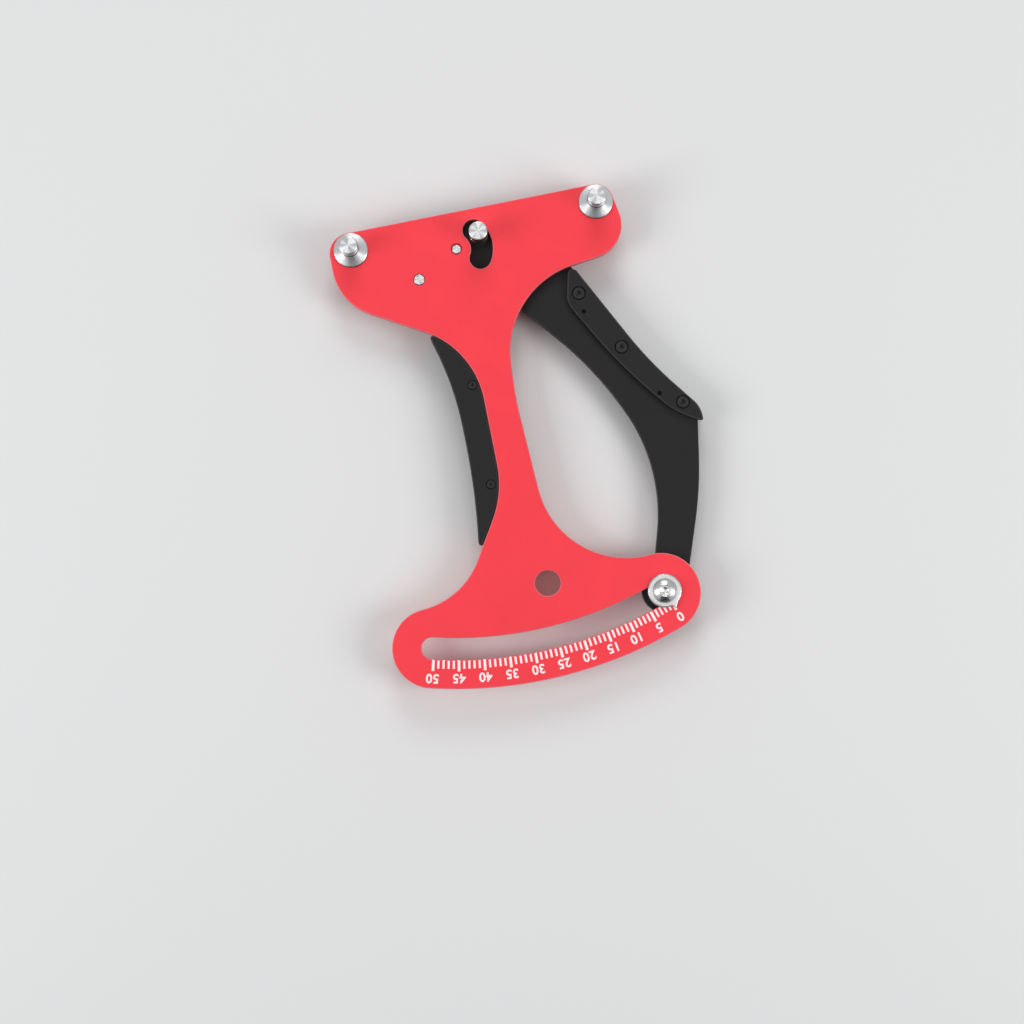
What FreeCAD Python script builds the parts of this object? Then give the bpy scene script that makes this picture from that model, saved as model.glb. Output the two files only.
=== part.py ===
import FreeCAD, Part
import math
import os

import Sketcher

# Spoke tension meter, in millimetres, lying on its back: +Z is towards the reader of the scale, +Y towards
# the posts. The origin is the hanging hole's axis on the plate's back face. The mechanism is drawn about the
# pivot pin, so sizes that end in _x and _y are measured from the pivot, and seat() moves each sub-part to the
# origin. Angles on the scale are measured at the pivot from -Y towards +X, in degrees.

SIZES = {
    # front plate
    "plate_thickness": 4.0,
    "plate_chamfer": 0.35,
    "hanging_hole_x": 10.4,
    "hanging_hole_y": -148.7,
    "hanging_hole_radius": 5.5,
    # top of the plate, set out from the two fixed posts
    "left_post_x": -44.7,
    "right_post_x": 62.8,
    "post_y": 8.2,
    "top_margin": 7.8,
    "left_margin": 9.5,
    "right_margin": 6.5,
    "right_flare": 11.7,
    "left_corner_radius": 9.0,
    "right_corner_radius": 7.8,
    "left_cheek_y": -13.3,
    "left_cheek_radius": 24.0,
    "right_cheek_y": -13.2,
    "right_cheek_radius": 14.3,
    # waist
    "waist_left_x": -1.0,
    "waist_left_top_y": -43.4,
    "waist_left_top_radius": 38.7,
    "waist_left_foot_y": -106.9,
    "waist_left_foot_radius": 43.0,
    "left_haunch_x": -26.6,
    "left_haunch_y": -148.5,
    "left_haunch_radius": 37.0,
    "waist_right_x": 12.5,
    "waist_right_y": -68.7,
    "waist_right_radius": 123.0,
    "right_haunch_x": 16.4,
    "right_haunch_y": -147.9,
    "right_haunch_radius": 38.6,
    "right_shoulder_x": 15.5,
    "right_shoulder_y": -20.7,
    "right_shoulder_radius": 39.0,
    # scale: the lobes and the bottom edge follow the pointer's orbit
    "pointer_orbit": 172.0,
    "zero_angle": 20.0,
    "travel_angle": 34.4,
    "slot_overrun_angle": 0.25,
    "lobe_radius": 17.1,
    "left_lobe_angle": -14.7,
    "right_lobe_angle": 19.4,
    "scale_slot_width": 9.4,
    # moving post and its kidney slot
    "moving_post_orbit": 11.0,
    "moving_post_angle": 18.1,
    "kidney_slot_width": 9.4,
    "kidney_slot_top_angle": 37.0,
    "kidney_slot_foot_angle": -31.5,
    # spoke posts
    "post_radius": 4.0,
    "post_height": 14.0,
    "post_chamfer": 0.5,
    "post_flange_radius": 7.35,
    "post_flange_thickness": 1.5,
    "post_flange_chamfer": 0.4,
    "spoke_groove_depth": 0.3,
    "spoke_groove_width": 2.4,
    "spoke_groove_level": 7.5,
    # post screws, from the back
    "post_screw_radius": 2.0,
    "post_screw_length": 10.0,
    "post_screw_head_radius": 3.5,
    "post_screw_head_height": 2.2,
    "post_screw_socket": 2.5,
    "screw_hole_clearance": 0.2,
    "seat_clearance": 0.02,
    # pivot
    "pivot_radius": 3.0,
    "pivot_end_radius": 1.95,
    "pivot_recess_radius": 2.5,
    "pivot_recess_depth": 1.5,
    "pivot_end_recess": 0.6,
    "pivot_washer_radius": 6.0,
    "pivot_washer_clearance": 0.1,
    "rear_washer_thickness": 0.8,
    "running_clearance": 0.04,
    "side_clearance": 0.05,
    "clip_radius": 4.5,
    "clip_thickness": 0.7,
    "clip_groove_radius": 2.5,
    "clip_mouth": 3.0,
    "pivot_tail": 0.6,
    # lever
    "lever_gap": 1.0,
    "lever_thickness": 4.0,
    "lever_chamfer": 0.35,
    "lever_head_radius": 15.5,
    "lever_throat_x": 12.5,
    "lever_throat_y": -18.6,
    "lever_throat_radius": 10.0,
    "lever_inner_top_x": 47.85,
    "lever_inner_top_y": -61.05,
    "lever_inner_top_radius": 150.0,
    "lever_inner_foot_x": 69.5,
    "lever_inner_foot_y": -107.9,
    "lever_inner_foot_radius": 77.0,
    "lever_ankle_x": 57.9,
    "lever_ankle_y": -147.0,
    "lever_ankle_radius": 8.0,
    "lever_foot_radius": 9.5,
    "lever_outer_x": 82.8,
    "lever_outer_y": -121.5,
    "lever_outer_radius": 166.0,
    "lever_shoulder_x": 88.8,
    "lever_shoulder_y": -86.3,
    "lever_back_x": 38.1,
    "lever_back_y": 1.0,
    "lever_back_radius": 16.0,
    # lever grip
    "grip_inset": 0.5,
    "grip_hole_spare": 0.5,
    "lever_grip_front_height": 3.2,
    "lever_grip_tip_x": 47.1,
    "lever_grip_tip_y": -20.2,
    "lever_grip_tip_radius": 2.2,
    "lever_grip_heel_x": 42.2,
    "lever_grip_heel_y": -31.9,
    "lever_grip_heel_radius": 9.0,
    "lever_grip_palm_x": 59.1,
    "lever_grip_palm_y": -62.4,
    "lever_grip_palm_radius": 206.0,
    "lever_grip_sole_x": 79.1,
    "lever_grip_sole_y": -87.9,
    "lever_grip_sole_radius": 38.0,
    "lever_grip_toe_x": 90.0,
    "lever_grip_toe_y": -93.3,
    "lever_grip_toe_radius": 0.7,
    "lever_grip_rear_toe_radius": 1.8,
    "lever_grip_shoulder_x": 89.55,
    "lever_grip_shoulder_y": -86.7,
    "lever_grip_shoulder_radius": 11.0,
    "lever_grip_finger_x": 71.9,
    "lever_grip_finger_y": -63.4,
    "lever_grip_finger_radius": 173.5,
    "lever_grip_screw_recess_radius": 3.0,
    "lever_grip_screw_recess_depth": 1.2,
    "lever_grip_screw_radius": 1.5,
    "lever_grip_screw_length": 10.0,
    "lever_grip_screw_head_radius": 2.6,
    "lever_grip_screw_head_height": 1.0,
    "lever_grip_screw_socket": 1.8,
    "dowel_hole_radius": 0.95,
    "dowel_hole_depth": 1.5,
    # plate grip, set out from the plate's left waist
    "rest_level": -13.0,
    "plate_grip_front_height": 3.4,
    "plate_grip_gap": 0.25,
    "plate_grip_width": 11.4,
    "plate_grip_palm_rise": -13.1,
    "plate_grip_palm_radius": 150.0,
    "plate_grip_heel_rise": 1.9,
    "plate_grip_heel_radius": 400.0,
    "plate_grip_tip_radius": 1.0,
    "plate_grip_top_angle": 53.7,
    "plate_grip_top_overrun": 0.05,
    "plate_grip_foot_angle": -46.6,
    "plate_grip_foot_overrun": 1.3,
    "plate_grip_screw_recess_radius": 2.1,
    "plate_grip_screw_recess_depth": 1.0,
    "plate_grip_screw_radius": 1.25,
    "plate_grip_screw_length": 8.0,
    "plate_grip_screw_head_radius": 1.85,
    "plate_grip_screw_head_height": 0.85,
    "plate_grip_screw_socket": 1.4,
    "tongue_thickness": 1.6,
    "tongue_rim": 2.0,
    "tongue_clearance": 0.1,
    "tongue_top_rise": -3.6,
    "tongue_end_rise": -5.0,
    "tongue_corner_radius": 1.5,
    "tongue_root_x": 3.0,
    "grip_front_chamfer": 0.5,
    # pointer
    "sleeve_radius": 4.35,
    "sleeve_clearance": 0.1,
    "slide_washer_radius": 7.5,
    "pointer_radius": 6.9,
    "pointer_reach": 8.8,
    "pointer_tip_offset": 0.48,
    "pointer_tip_radius": 0.3,
    "pointer_thickness": 1.0,
    "pointer_washer_radius": 7.2,
    "pointer_washer_thickness": 0.8,
    "pointer_chamfer": 0.25,
    "pointer_screw_radius": 3.0,
    "pointer_screw_head_radius": 5.25,
    "pointer_screw_head_height": 3.3,
    "pointer_screw_socket": 4.0,
    "pointer_nut_across_flats": 10.0,
    "pointer_nut_thickness": 3.2,
    "pointer_screw_tail": 0.6,
    # return spring and its two studs
    "anchor_stud_x": -18.3,
    "anchor_stud_y": -9.9,
    "anchor_stud_radius": 2.5,
    "anchor_collar_radius": 3.2,
    "anchor_collar_length": 1.0,
    "lever_stud_x": -3.0,
    "lever_stud_y": 12.0,
    "stud_stem_radius": 1.8,
    "stud_neck_radius": 1.3,
    "stud_neck_length": 1.6,
    "stud_foot_length": 1.0,
    "spring_level": -9.5,
    "spring_radius": 1.6,
    "spring_wire_radius": 0.35,
    "spring_turns": 9.0,
    "spring_loop_clearance": 0.1,
}

# Screws of the two grips: name, then x and y of the axis.
PLATE_GRIP_SCREWS = {"upper": (-4.7, -58.9), "lower": (-5.3, -102.4)}
LEVER_GRIP_SCREWS = {"upper": (48.0, -28.8), "middle": (61.5, -55.2), "lower": (82.7, -83.6)}
DOWEL_HOLES = {"upper": (48.6, -37.0), "lower": (73.6, -78.0)}
SPOTS = {"plate_grip_screw": PLATE_GRIP_SCREWS, "lever_grip_screw": LEVER_GRIP_SCREWS, "dowel": DOWEL_HOLES}

UP = FreeCAD.Vector(0, 0, 1)
LEVEL_TOLERANCE = 1e-6
SHORTEST_RUN = 1e-4
LEAST_CUT = 1e-6
COMPLETE = []

doc = FreeCAD.newDocument("SpokeTensionMeter")
sheet = doc.addObject("Spreadsheet::Sheet", "Dim")
for family, spots in SPOTS.items():
    for place, (spot_x, spot_y) in spots.items():
        SIZES[f"{family}_{place}_x"] = spot_x
        SIZES[f"{family}_{place}_y"] = spot_y
for row, (alias, size) in enumerate(SIZES.items(), start=1):
    sheet.set(f"A{row}", alias)
    sheet.set(f"B{row}", str(size))
    sheet.setAlias(f"B{row}", alias)
doc.recompute()

# A scratch object that works out an expression of the sheet's sizes, so that each formula is written once.
reckoner = doc.addObject("App::VarSet", "Reckoner")
reckoner.addProperty("App::PropertyFloat", "answer")


def number(expression):
    """The present value of an expression of the sheet's sizes."""
    reckoner.setExpression("answer", str(expression))
    reckoner.recompute()
    if "Invalid" in reckoner.State:
        raise ValueError(f"no answer to {expression}")
    return reckoner.answer


# Heights that several sub-parts share, as expressions of the sheet's sizes.
LEVER_FACE = "-Dim.lever_gap"
LEVER_BACK = "(-Dim.lever_gap - Dim.lever_thickness)"
SLEEVE_TOP = "(Dim.plate_thickness + Dim.sleeve_clearance)"
POINTER_FACE = "(Dim.plate_thickness + Dim.sleeve_clearance + Dim.pointer_washer_thickness)"
POINTER_TOP = f"({POINTER_FACE} + Dim.pointer_thickness)"
POST_TOP = "(Dim.plate_thickness + Dim.post_flange_thickness + Dim.post_height)"
REAR_WASHER_FACE = f"({LEVER_BACK} - Dim.side_clearance)"
CLIP_FACE = f"({REAR_WASHER_FACE} - Dim.rear_washer_thickness)"

# Spots on the pivot's circles.
POINTER_X = "Dim.pointer_orbit * sin(Dim.zero_angle)"
POINTER_Y = "-Dim.pointer_orbit * cos(Dim.zero_angle)"
MOVING_POST_X = "Dim.moving_post_orbit * cos(Dim.moving_post_angle)"
MOVING_POST_Y = "Dim.moving_post_orbit * sin(Dim.moving_post_angle)"


# ---- sketches --------------------------------------------------------------------------------------------

def add_rules(sketch, rules):
    """Adds constraints, given as (constraint, expression or None), and binds each size to its expression."""
    first = sketch.ConstraintCount
    sketch.addConstraint([rule for rule, _ in rules])
    for index, (_, expression) in enumerate(rules, start=first):
        if expression:
            sketch.setExpression(f"Constraints[{index}]", expression)


def locate(geometry, end, x, y):
    """Rules that hold one point of a sketch's geometry at x, y."""
    rules = []
    for kind, axis, expression in (("DistanceX", -2, x), ("DistanceY", -1, y)):
        value = number(expression)
        if abs(value) < 1e-9:
            rules.append((Sketcher.Constraint("PointOnObject", geometry, end, axis), None))
        else:
            rules.append((Sketcher.Constraint(kind, -1, 1, geometry, end, value), expression))
    return rules


def corner(x, y, blend=None):
    """A turn of an outline at x, y, rounded to the radius blend, or sharp."""
    return {"kind": "corner", "x": x, "y": y, "wrap": "0", "blend": blend}


def wheel(x, y, radius, kind="wheel"):
    """A round of an outline about x, y. The straight runs leave it as a belt leaves a pulley. A minus radius
    is a hollow."""
    return {"kind": kind, "x": x, "y": y, "wrap": radius, "blend": None}


def orbit(radius):
    """A round about the pivot that meets its two neighbours, which lie on its circle, with no run between.
    Its radius follows from theirs."""
    return wheel("0", "0", radius, kind="orbit")


def cap(x, y, radius):
    """A round after an orbit, whose radius follows from the orbit's."""
    return wheel(x, y, radius, kind="cap")


def slot_end(x, y, radius):
    """A round between two orbits. They keep it on its circle, so it is placed by one coordinate alone."""
    return wheel(x, y, radius, kind="slot_end")


def straight_runs(stops):
    """The run from each stop to the next, as [start, end]. It touches both stops' circles on the same side,
    so the normal leans from the sideways direction by the difference of the radii over the distance."""
    runs = []
    for here, there in zip(stops, stops[1:] + stops[:1]):
        span = there["spot"] - here["spot"]
        lean = max(-1.0, min(1.0, (there["reach"] - here["reach"]) / span.Length))
        along = span / span.Length
        sideways = FreeCAD.Vector(-along.y, along.x, 0)
        normal = along * lean + sideways * math.sqrt(1.0 - lean * lean)
        runs.append([here["spot"] - normal * here["reach"], there["spot"] - normal * there["reach"]])
    return runs


def blend_lengths(stops, runs):
    """How far each corner's blend takes from the run on each side: its radius times the tangent of half the
    turn, and less where two blends would share more than their run."""
    lengths = []
    for index, stop in enumerate(stops):
        before = runs[index - 1][1] - runs[index - 1][0]
        after = runs[index][1] - runs[index][0]
        stop["turn"] = math.atan2(before.cross(after).z, before.dot(after))
        blend = number(stop["blend"]) if stop["blend"] else 0.0
        lengths.append(blend * math.tan(abs(stop["turn"]) / 2.0))
    room = []
    for index, (start, end) in enumerate(runs):
        wanted = lengths[index] + lengths[(index + 1) % len(stops)]
        room.append(1.0 if wanted == 0.0 else min(1.0, (end - start).Length * 0.999 / wanted))
    return [length * min(room[index - 1], room[index]) for index, length in enumerate(lengths)]


def rounds(stops, runs):
    """Cuts the runs back by the blends, and gives each stop its arc: centre, radius and its bend."""
    lengths = blend_lengths(stops, runs)
    for index, stop in enumerate(stops):
        incoming, outgoing = runs[index - 1], runs[index]
        if stop["kind"] != "corner":
            stop["centre"] = stop["spot"]
            stop["radius"] = abs(stop["reach"])
            stop["hollow"] = stop["reach"] < 0
            continue
        if not stop["blend"]:
            continue
        ahead = (outgoing[1] - outgoing[0]).normalize()
        behind = (incoming[0] - incoming[1]).normalize()
        stop["radius"] = lengths[index] / math.tan(abs(stop["turn"]) / 2.0)
        stop["hollow"] = stop["turn"] < 0
        stop["full"] = abs(stop["radius"] - number(stop["blend"])) < 1e-9
        middle = (ahead + behind).normalize()
        stop["centre"] = stop["spot"] + middle * (stop["radius"] / math.cos(stop["turn"] / 2.0))
        stop["cut_in"] = stop["spot"] + behind * lengths[index]
        stop["cut_out"] = stop["spot"] + ahead * lengths[index]
    for index, stop in enumerate(stops):
        if stop["blend"]:
            runs[index - 1][1] = stop["cut_in"]
            runs[index][0] = stop["cut_out"]


def add_arc(sketch, stop, start, end):
    """One arc of an outline. A sketch keeps its arcs counter-clockwise, so a hollow's ends change places."""
    if stop["hollow"]:
        start, end = end, start
    angles = [math.atan2(p.y - stop["centre"].y, p.x - stop["centre"].x) for p in (start, end)]
    if angles[1] <= angles[0]:
        angles[1] += 2.0 * math.pi
    circle = Part.Circle(stop["centre"], UP, stop["radius"])
    stop["arc"] = sketch.addGeometry(Part.ArcOfCircle(circle, angles[0], angles[1]))
    stop["first"], stop["last"] = (2, 1) if stop["hollow"] else (1, 2)


def outline(sketch, stops):
    """Draws a closed outline, counter-clockwise through the stops, of straight runs and tangent arcs, with
    every centre, corner and radius bound to the sheet."""
    for stop in stops:
        stop["spot"] = FreeCAD.Vector(number(stop["x"]), number(stop["y"]), 0)
        stop["reach"] = number(stop["wrap"])
    runs = straight_runs(stops)
    rounds(stops, runs)
    rules = []
    for index, stop in enumerate(stops):
        if stop["kind"] == "corner" and not stop["blend"]:
            continue
        add_arc(sketch, stop, runs[index - 1][1], runs[index][0])
        if stop["kind"] == "corner":
            stop["point"] = sketch.addGeometry(Part.Point(stop["spot"]), True)
            rules += locate(stop["point"], 1, stop["x"], stop["y"])
            size = stop["blend"] if stop["full"] else None
            rules.append((Sketcher.Constraint("Radius", stop["arc"], stop["radius"]), size))
            continue
        spot_rules = locate(stop["arc"], 3, stop["x"], stop["y"])
        if stop["kind"] == "slot_end":
            spot_rules = spot_rules[:1] if abs(stop["spot"].y) > abs(stop["spot"].x) else spot_rules[1:]
        rules += spot_rules
        if stop["kind"] == "wheel":
            size = f"abs({stop['wrap']})"
            rules.append((Sketcher.Constraint("Radius", stop["arc"], stop["radius"]), size))
    for index, stop in enumerate(stops):
        stop["line"] = None
        if (runs[index][1] - runs[index][0]).Length > SHORTEST_RUN:
            stop["line"] = sketch.addGeometry(Part.LineSegment(*runs[index]))
    for index, stop in enumerate(stops):
        rules += joint_rules(stops[index - 1], stop)
        if stop["line"] is None:
            after = stops[(index + 1) % len(stops)]
            ends = (stop["arc"], stop["last"], after["arc"], after["first"])
            rules.append((Sketcher.Constraint("Tangent", *ends), None))
    add_rules(sketch, rules)
    return sketch


def joint_rules(before, stop):
    """Rules for where one stop meets the runs on its two sides."""
    rules = []
    incoming, outgoing = before["line"], stop["line"]
    if "arc" not in stop:
        rules.append((Sketcher.Constraint("Coincident", incoming, 2, outgoing, 1), None))
        return rules + locate(outgoing, 1, stop["x"], stop["y"])
    if incoming is not None:
        rules.append((Sketcher.Constraint("Tangent", incoming, 2, stop["arc"], stop["first"]), None))
    if outgoing is not None:
        rules.append((Sketcher.Constraint("Tangent", stop["arc"], stop["last"], outgoing, 1), None))
    if "point" in stop:
        for line in (incoming, outgoing):
            rules.append((Sketcher.Constraint("PointOnObject", stop["point"], 1, line), None))
    return rules


def circles(sketch, spots):
    """Draws whole circles, given as (x, y, radius)."""
    for x, y, radius in spots:
        centre = FreeCAD.Vector(number(x), number(y), 0)
        index = sketch.addGeometry(Part.Circle(centre, UP, number(radius)))
        size = (Sketcher.Constraint("Radius", index, number(radius)), radius)
        add_rules(sketch, locate(index, 3, x, y) + [size])
    return sketch


def screw_spots(screw, places, radius):
    """One circle of one radius at each place of a set of screws."""
    return [(f"Dim.{screw}_{place}_x", f"Dim.{screw}_{place}_y", radius) for place in places]


# ---- features --------------------------------------------------------------------------------------------

def new_body(name):
    body = doc.addObject("PartDesign::Body", name)
    body.Label = name
    return body


def sketch_on(body, name, plane="XY_Plane", level=None):
    """A sketch on one of the body's own planes, or at a level above it."""
    sketch = body.newObject("Sketcher::SketchObject", name)
    base = [feature for feature in body.Origin.OriginFeatures if feature.Role == plane][0]
    sketch.AttachmentSupport = [(base, "")]
    sketch.MapMode = "FlatFace"
    if level is not None:
        sketch.setExpression("AttachmentOffset.Base.z", level)
    return sketch


def pad(body, sketch, length):
    feature = body.newObject("PartDesign::Pad", "Pad")
    feature.Profile = sketch
    feature.setExpression("Length", length)
    doc.recompute()
    return feature


def pocket(body, sketch, depth=None, upward=False):
    """Cuts down from the sketch, or up from it, to a depth or right through, and makes sure that it cut."""
    before = body.Shape.Volume
    feature = body.newObject("PartDesign::Pocket", "Pocket")
    feature.Profile = sketch
    feature.Reversed = upward
    if depth is None:
        feature.Type = "ThroughAll"
    else:
        feature.setExpression("Length", depth)
    doc.recompute()
    if not body.Shape.Volume < before - LEAST_CUT:
        raise RuntimeError(f"{body.Label}: {feature.Name} cut nothing")
    return feature


def revolve(body, sketch):
    feature = body.newObject("PartDesign::Revolution", "Turning")
    feature.Profile = sketch
    feature.ReferenceAxis = (sketch, ["V_Axis"])
    feature.Angle = 360.0
    doc.recompute()
    return feature


def rim_edges(shape, level):
    """Names of the edges that lie flat at one level."""
    names = []
    for index, edge in enumerate(shape.Edges, start=1):
        box = edge.BoundBox
        if abs(box.ZMin - level) < LEVEL_TOLERANCE and abs(box.ZMax - level) < LEVEL_TOLERANCE:
            names.append(f"Edge{index}")
    return names


def dress(body, kind, edges, size):
    """A chamfer or fillet on named edges of the body's latest feature."""
    base = body.Tip
    feature = body.newObject(f"PartDesign::{kind}", kind)
    feature.Base = (base, edges)
    feature.setExpression("Size" if kind == "Chamfer" else "Radius", size)
    doc.recompute()
    return feature


def seat(part, x="0", y="0", z="0", turned_over=False, turn=None):
    """Moves a sub-part from the pivot's frame to the origin's, and lists it as complete."""
    if turned_over:
        part.Placement = FreeCAD.Placement(FreeCAD.Vector(), FreeCAD.Rotation(FreeCAD.Vector(1, 0, 0), 180))
    if turn is not None:
        part.Placement = FreeCAD.Placement(FreeCAD.Vector(), FreeCAD.Rotation(UP, number(turn)))
        part.setExpression("Placement.Rotation.Angle", turn)
    part.setExpression("Placement.Base.x", f"{x} - Dim.hanging_hole_x")
    part.setExpression("Placement.Base.y", f"{y} - Dim.hanging_hole_y")
    part.setExpression("Placement.Base.z", z)
    COMPLETE.append(part)
    return part


def turned(name, profile):
    """A turned body: a closed profile of (radius, height) stops, spun about its own Z axis."""
    body = new_body(name)
    revolve(body, outline(sketch_on(body, "Profile", "XZ_Plane"), profile))
    return body


def arc_slot(sketch, radius, width, first_angle, last_angle):
    """A slot of one width along a circle about the pivot. Angles are measured from +X, counter-clockwise."""
    half = f"{width} / 2"
    outline(sketch, [
        orbit(f"{radius} + {half}"),
        wheel(f"{radius} * cos({last_angle})", f"{radius} * sin({last_angle})", half),
        orbit(f"-({radius} - {half})"),
        slot_end(f"{radius} * cos({first_angle})", f"{radius} * sin({first_angle})", half),
    ])
    return sketch


def hexagon(sketch, across_flats):
    """A regular hexagon about the sketch's origin."""
    stops = []
    for side in range(6):
        angle = 60 * side
        reach = f"{across_flats} / sqrt(3)"
        stops.append(corner(f"{reach} * cos({angle})", f"{reach} * sin({angle})"))
    return outline(sketch, stops)


def socket_screw(name, screw, length, dome=None):
    """A screw with a hexagon socket and a flat head, or a head with a dome of the given radius. The head
    stands on the screw's own XY plane, and the shank goes down."""
    head, height = f"Dim.{screw}_head_radius", f"Dim.{screw}_head_height"
    shank = f"(Dim.{screw}_radius - Dim.seat_clearance)"
    body = turned(name, [
        corner("0", f"-({length})"),
        corner(shank, f"-({length})"),
        corner(shank, "0"),
        corner(head, "0"),
        corner(head, height, dome),
        corner("0", height),
    ])
    socket = hexagon(sketch_on(body, "Socket", level=height), f"Dim.{screw}_socket")
    pocket(body, socket, f"{height} * 0.6")
    return body


def washer(name, radius, bore, thickness):
    """A flat ring, with its lower face on its own XY plane."""
    rim = doc.addObject("Part::Cylinder", f"{name}_rim")
    rim.setExpression("Radius", radius)
    rim.setExpression("Height", thickness)
    hole = doc.addObject("Part::Cylinder", f"{name}_bore")
    hole.setExpression("Radius", bore)
    hole.setExpression("Height", thickness)
    ring = doc.addObject("Part::Cut", name)
    ring.Base = rim
    ring.Tool = hole
    ring.Label = name
    return ring


# ---- the plate and what is fixed to it -------------------------------------------------------------------

def plate_outline():
    """The plate's edge from the top left corner, counter-clockwise."""
    top = "Dim.post_y + Dim.top_margin"
    left = "Dim.left_post_x - Dim.left_margin"
    return [
        corner(left, top, "Dim.left_corner_radius"),
        corner(left, "Dim.left_cheek_y", "Dim.left_cheek_radius"),
        corner("Dim.waist_left_x", "Dim.waist_left_top_y", "Dim.waist_left_top_radius"),
        corner("Dim.waist_left_x", "Dim.waist_left_foot_y", "Dim.waist_left_foot_radius"),
        corner("Dim.left_haunch_x", "Dim.left_haunch_y", "Dim.left_haunch_radius"),
        wheel(
            "Dim.pointer_orbit * sin(Dim.left_lobe_angle)",
            "-Dim.pointer_orbit * cos(Dim.left_lobe_angle)",
            "Dim.lobe_radius",
        ),
        orbit("Dim.pointer_orbit + Dim.lobe_radius"),
        cap(
            "Dim.pointer_orbit * sin(Dim.right_lobe_angle)",
            "-Dim.pointer_orbit * cos(Dim.right_lobe_angle)",
            "Dim.lobe_radius",
        ),
        corner("Dim.right_haunch_x", "Dim.right_haunch_y", "Dim.right_haunch_radius"),
        corner("Dim.waist_right_x", "Dim.waist_right_y", "Dim.waist_right_radius"),
        corner("Dim.right_shoulder_x", "Dim.right_shoulder_y", "Dim.right_shoulder_radius"),
        corner("Dim.right_post_x + Dim.right_flare", "Dim.right_cheek_y", "Dim.right_cheek_radius"),
        corner("Dim.right_post_x + Dim.right_margin", top, "Dim.right_corner_radius"),
    ]


def tongue_outline(growth, root):
    """The thin step at the waist that the left grip clamps, from its top corner, counter-clockwise. growth
    widens it all round, and root is how far it runs to the right."""
    edge = f"Dim.waist_left_x - Dim.plate_grip_width + Dim.tongue_rim - {growth}"
    top = f"Dim.waist_left_top_y + Dim.tongue_top_rise + {growth}"
    end = f"Dim.waist_left_foot_y + Dim.tongue_end_rise - {growth}"
    return [
        corner(edge, top, "Dim.tongue_corner_radius"),
        corner(edge, end, "Dim.tongue_corner_radius"),
        corner(root, end),
        corner(root, top),
    ]


def front_plate():
    body = new_body("front_plate")
    pad(body, outline(sketch_on(body, "Outline"), plate_outline()), "Dim.plate_thickness")
    tongue = sketch_on(body, "Tongue")
    pad(body, outline(tongue, tongue_outline("0", "Dim.tongue_root_x")), "Dim.tongue_thickness")
    hanging_hole = ("Dim.hanging_hole_x", "Dim.hanging_hole_y", "Dim.hanging_hole_radius")
    pocket(body, circles(sketch_on(body, "HangingHole"), [hanging_hole]), upward=True)
    kidney = arc_slot(
        sketch_on(body, "KidneySlot"),
        "Dim.moving_post_orbit",
        "Dim.kidney_slot_width",
        "Dim.kidney_slot_foot_angle",
        "Dim.kidney_slot_top_angle",
    )
    pocket(body, kidney, upward=True)
    scale_slot = arc_slot(
        sketch_on(body, "ScaleSlot"),
        "Dim.pointer_orbit",
        "Dim.scale_slot_width",
        "(Dim.zero_angle - Dim.travel_angle - Dim.slot_overrun_angle - 90)",
        "(Dim.zero_angle + Dim.slot_overrun_angle - 90)",
    )
    pocket(body, scale_slot, upward=True)
    dress(body, "Chamfer", rim_edges(body.Shape, number("Dim.plate_thickness")), "Dim.plate_chamfer")
    post_hole = "Dim.post_screw_radius + Dim.screw_hole_clearance"
    spots = [
        ("Dim.left_post_x", "Dim.post_y", post_hole),
        ("Dim.right_post_x", "Dim.post_y", post_hole),
        ("0", "0", "Dim.pivot_end_radius + Dim.seat_clearance"),
        ("Dim.anchor_stud_x", "Dim.anchor_stud_y", "Dim.anchor_stud_radius + Dim.seat_clearance"),
    ]
    grip_hole = "Dim.plate_grip_screw_radius + Dim.screw_hole_clearance"
    spots += screw_spots("plate_grip_screw", PLATE_GRIP_SCREWS, grip_hole)
    pocket(body, circles(sketch_on(body, "FittingHoles"), spots), upward=True)
    recess = sketch_on(body, "PivotRecess", level="Dim.plate_thickness")
    circles(recess, [("0", "0", "Dim.pivot_recess_radius")])
    pocket(body, recess, "Dim.pivot_recess_depth")
    return seat(body)


def spoke_post(name, base, foot, x, y, z):
    """A turned post with a shallow groove for the spoke and a blind hole for its screw. base is the height at
    which its stem starts, and foot is its flange's radius or None."""
    top = f"{POST_TOP} - {z}"
    bore = "Dim.post_screw_radius"
    groove = f"Dim.plate_thickness + Dim.post_flange_thickness + Dim.spoke_groove_level - {z}"
    profile = [corner(bore, "0")]
    if foot:
        profile += [
            corner(foot, "0"),
            corner(foot, f"{base} - Dim.post_flange_chamfer"),
            corner(f"{foot} - Dim.post_flange_chamfer", base),
            corner("Dim.post_radius", base),
        ]
    else:
        profile.append(corner("Dim.post_radius", "0"))
    profile += [
        corner("Dim.post_radius", f"{groove} - Dim.spoke_groove_width / 2"),
        corner("Dim.post_radius - Dim.spoke_groove_depth", groove),
        corner("Dim.post_radius", f"{groove} + Dim.spoke_groove_width / 2"),
        corner("Dim.post_radius", f"{top} - Dim.post_chamfer"),
        corner("Dim.post_radius - Dim.post_chamfer", top),
        corner("0", top),
        corner("0", "Dim.post_screw_length"),
        corner(bore, "Dim.post_screw_length"),
    ]
    return seat(turned(name, profile), x, y, z)


def fixed_posts():
    for side in ("left", "right"):
        x = f"Dim.{side}_post_x"
        spoke_post(
            f"{side}_post",
            "Dim.post_flange_thickness",
            "Dim.post_flange_radius",
            x,
            "Dim.post_y",
            "Dim.plate_thickness",
        )
        screw = socket_screw(f"{side}_post_screw", "post_screw", "Dim.post_screw_length")
        seat(screw, x, "Dim.post_y", "0", turned_over=True)


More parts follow.
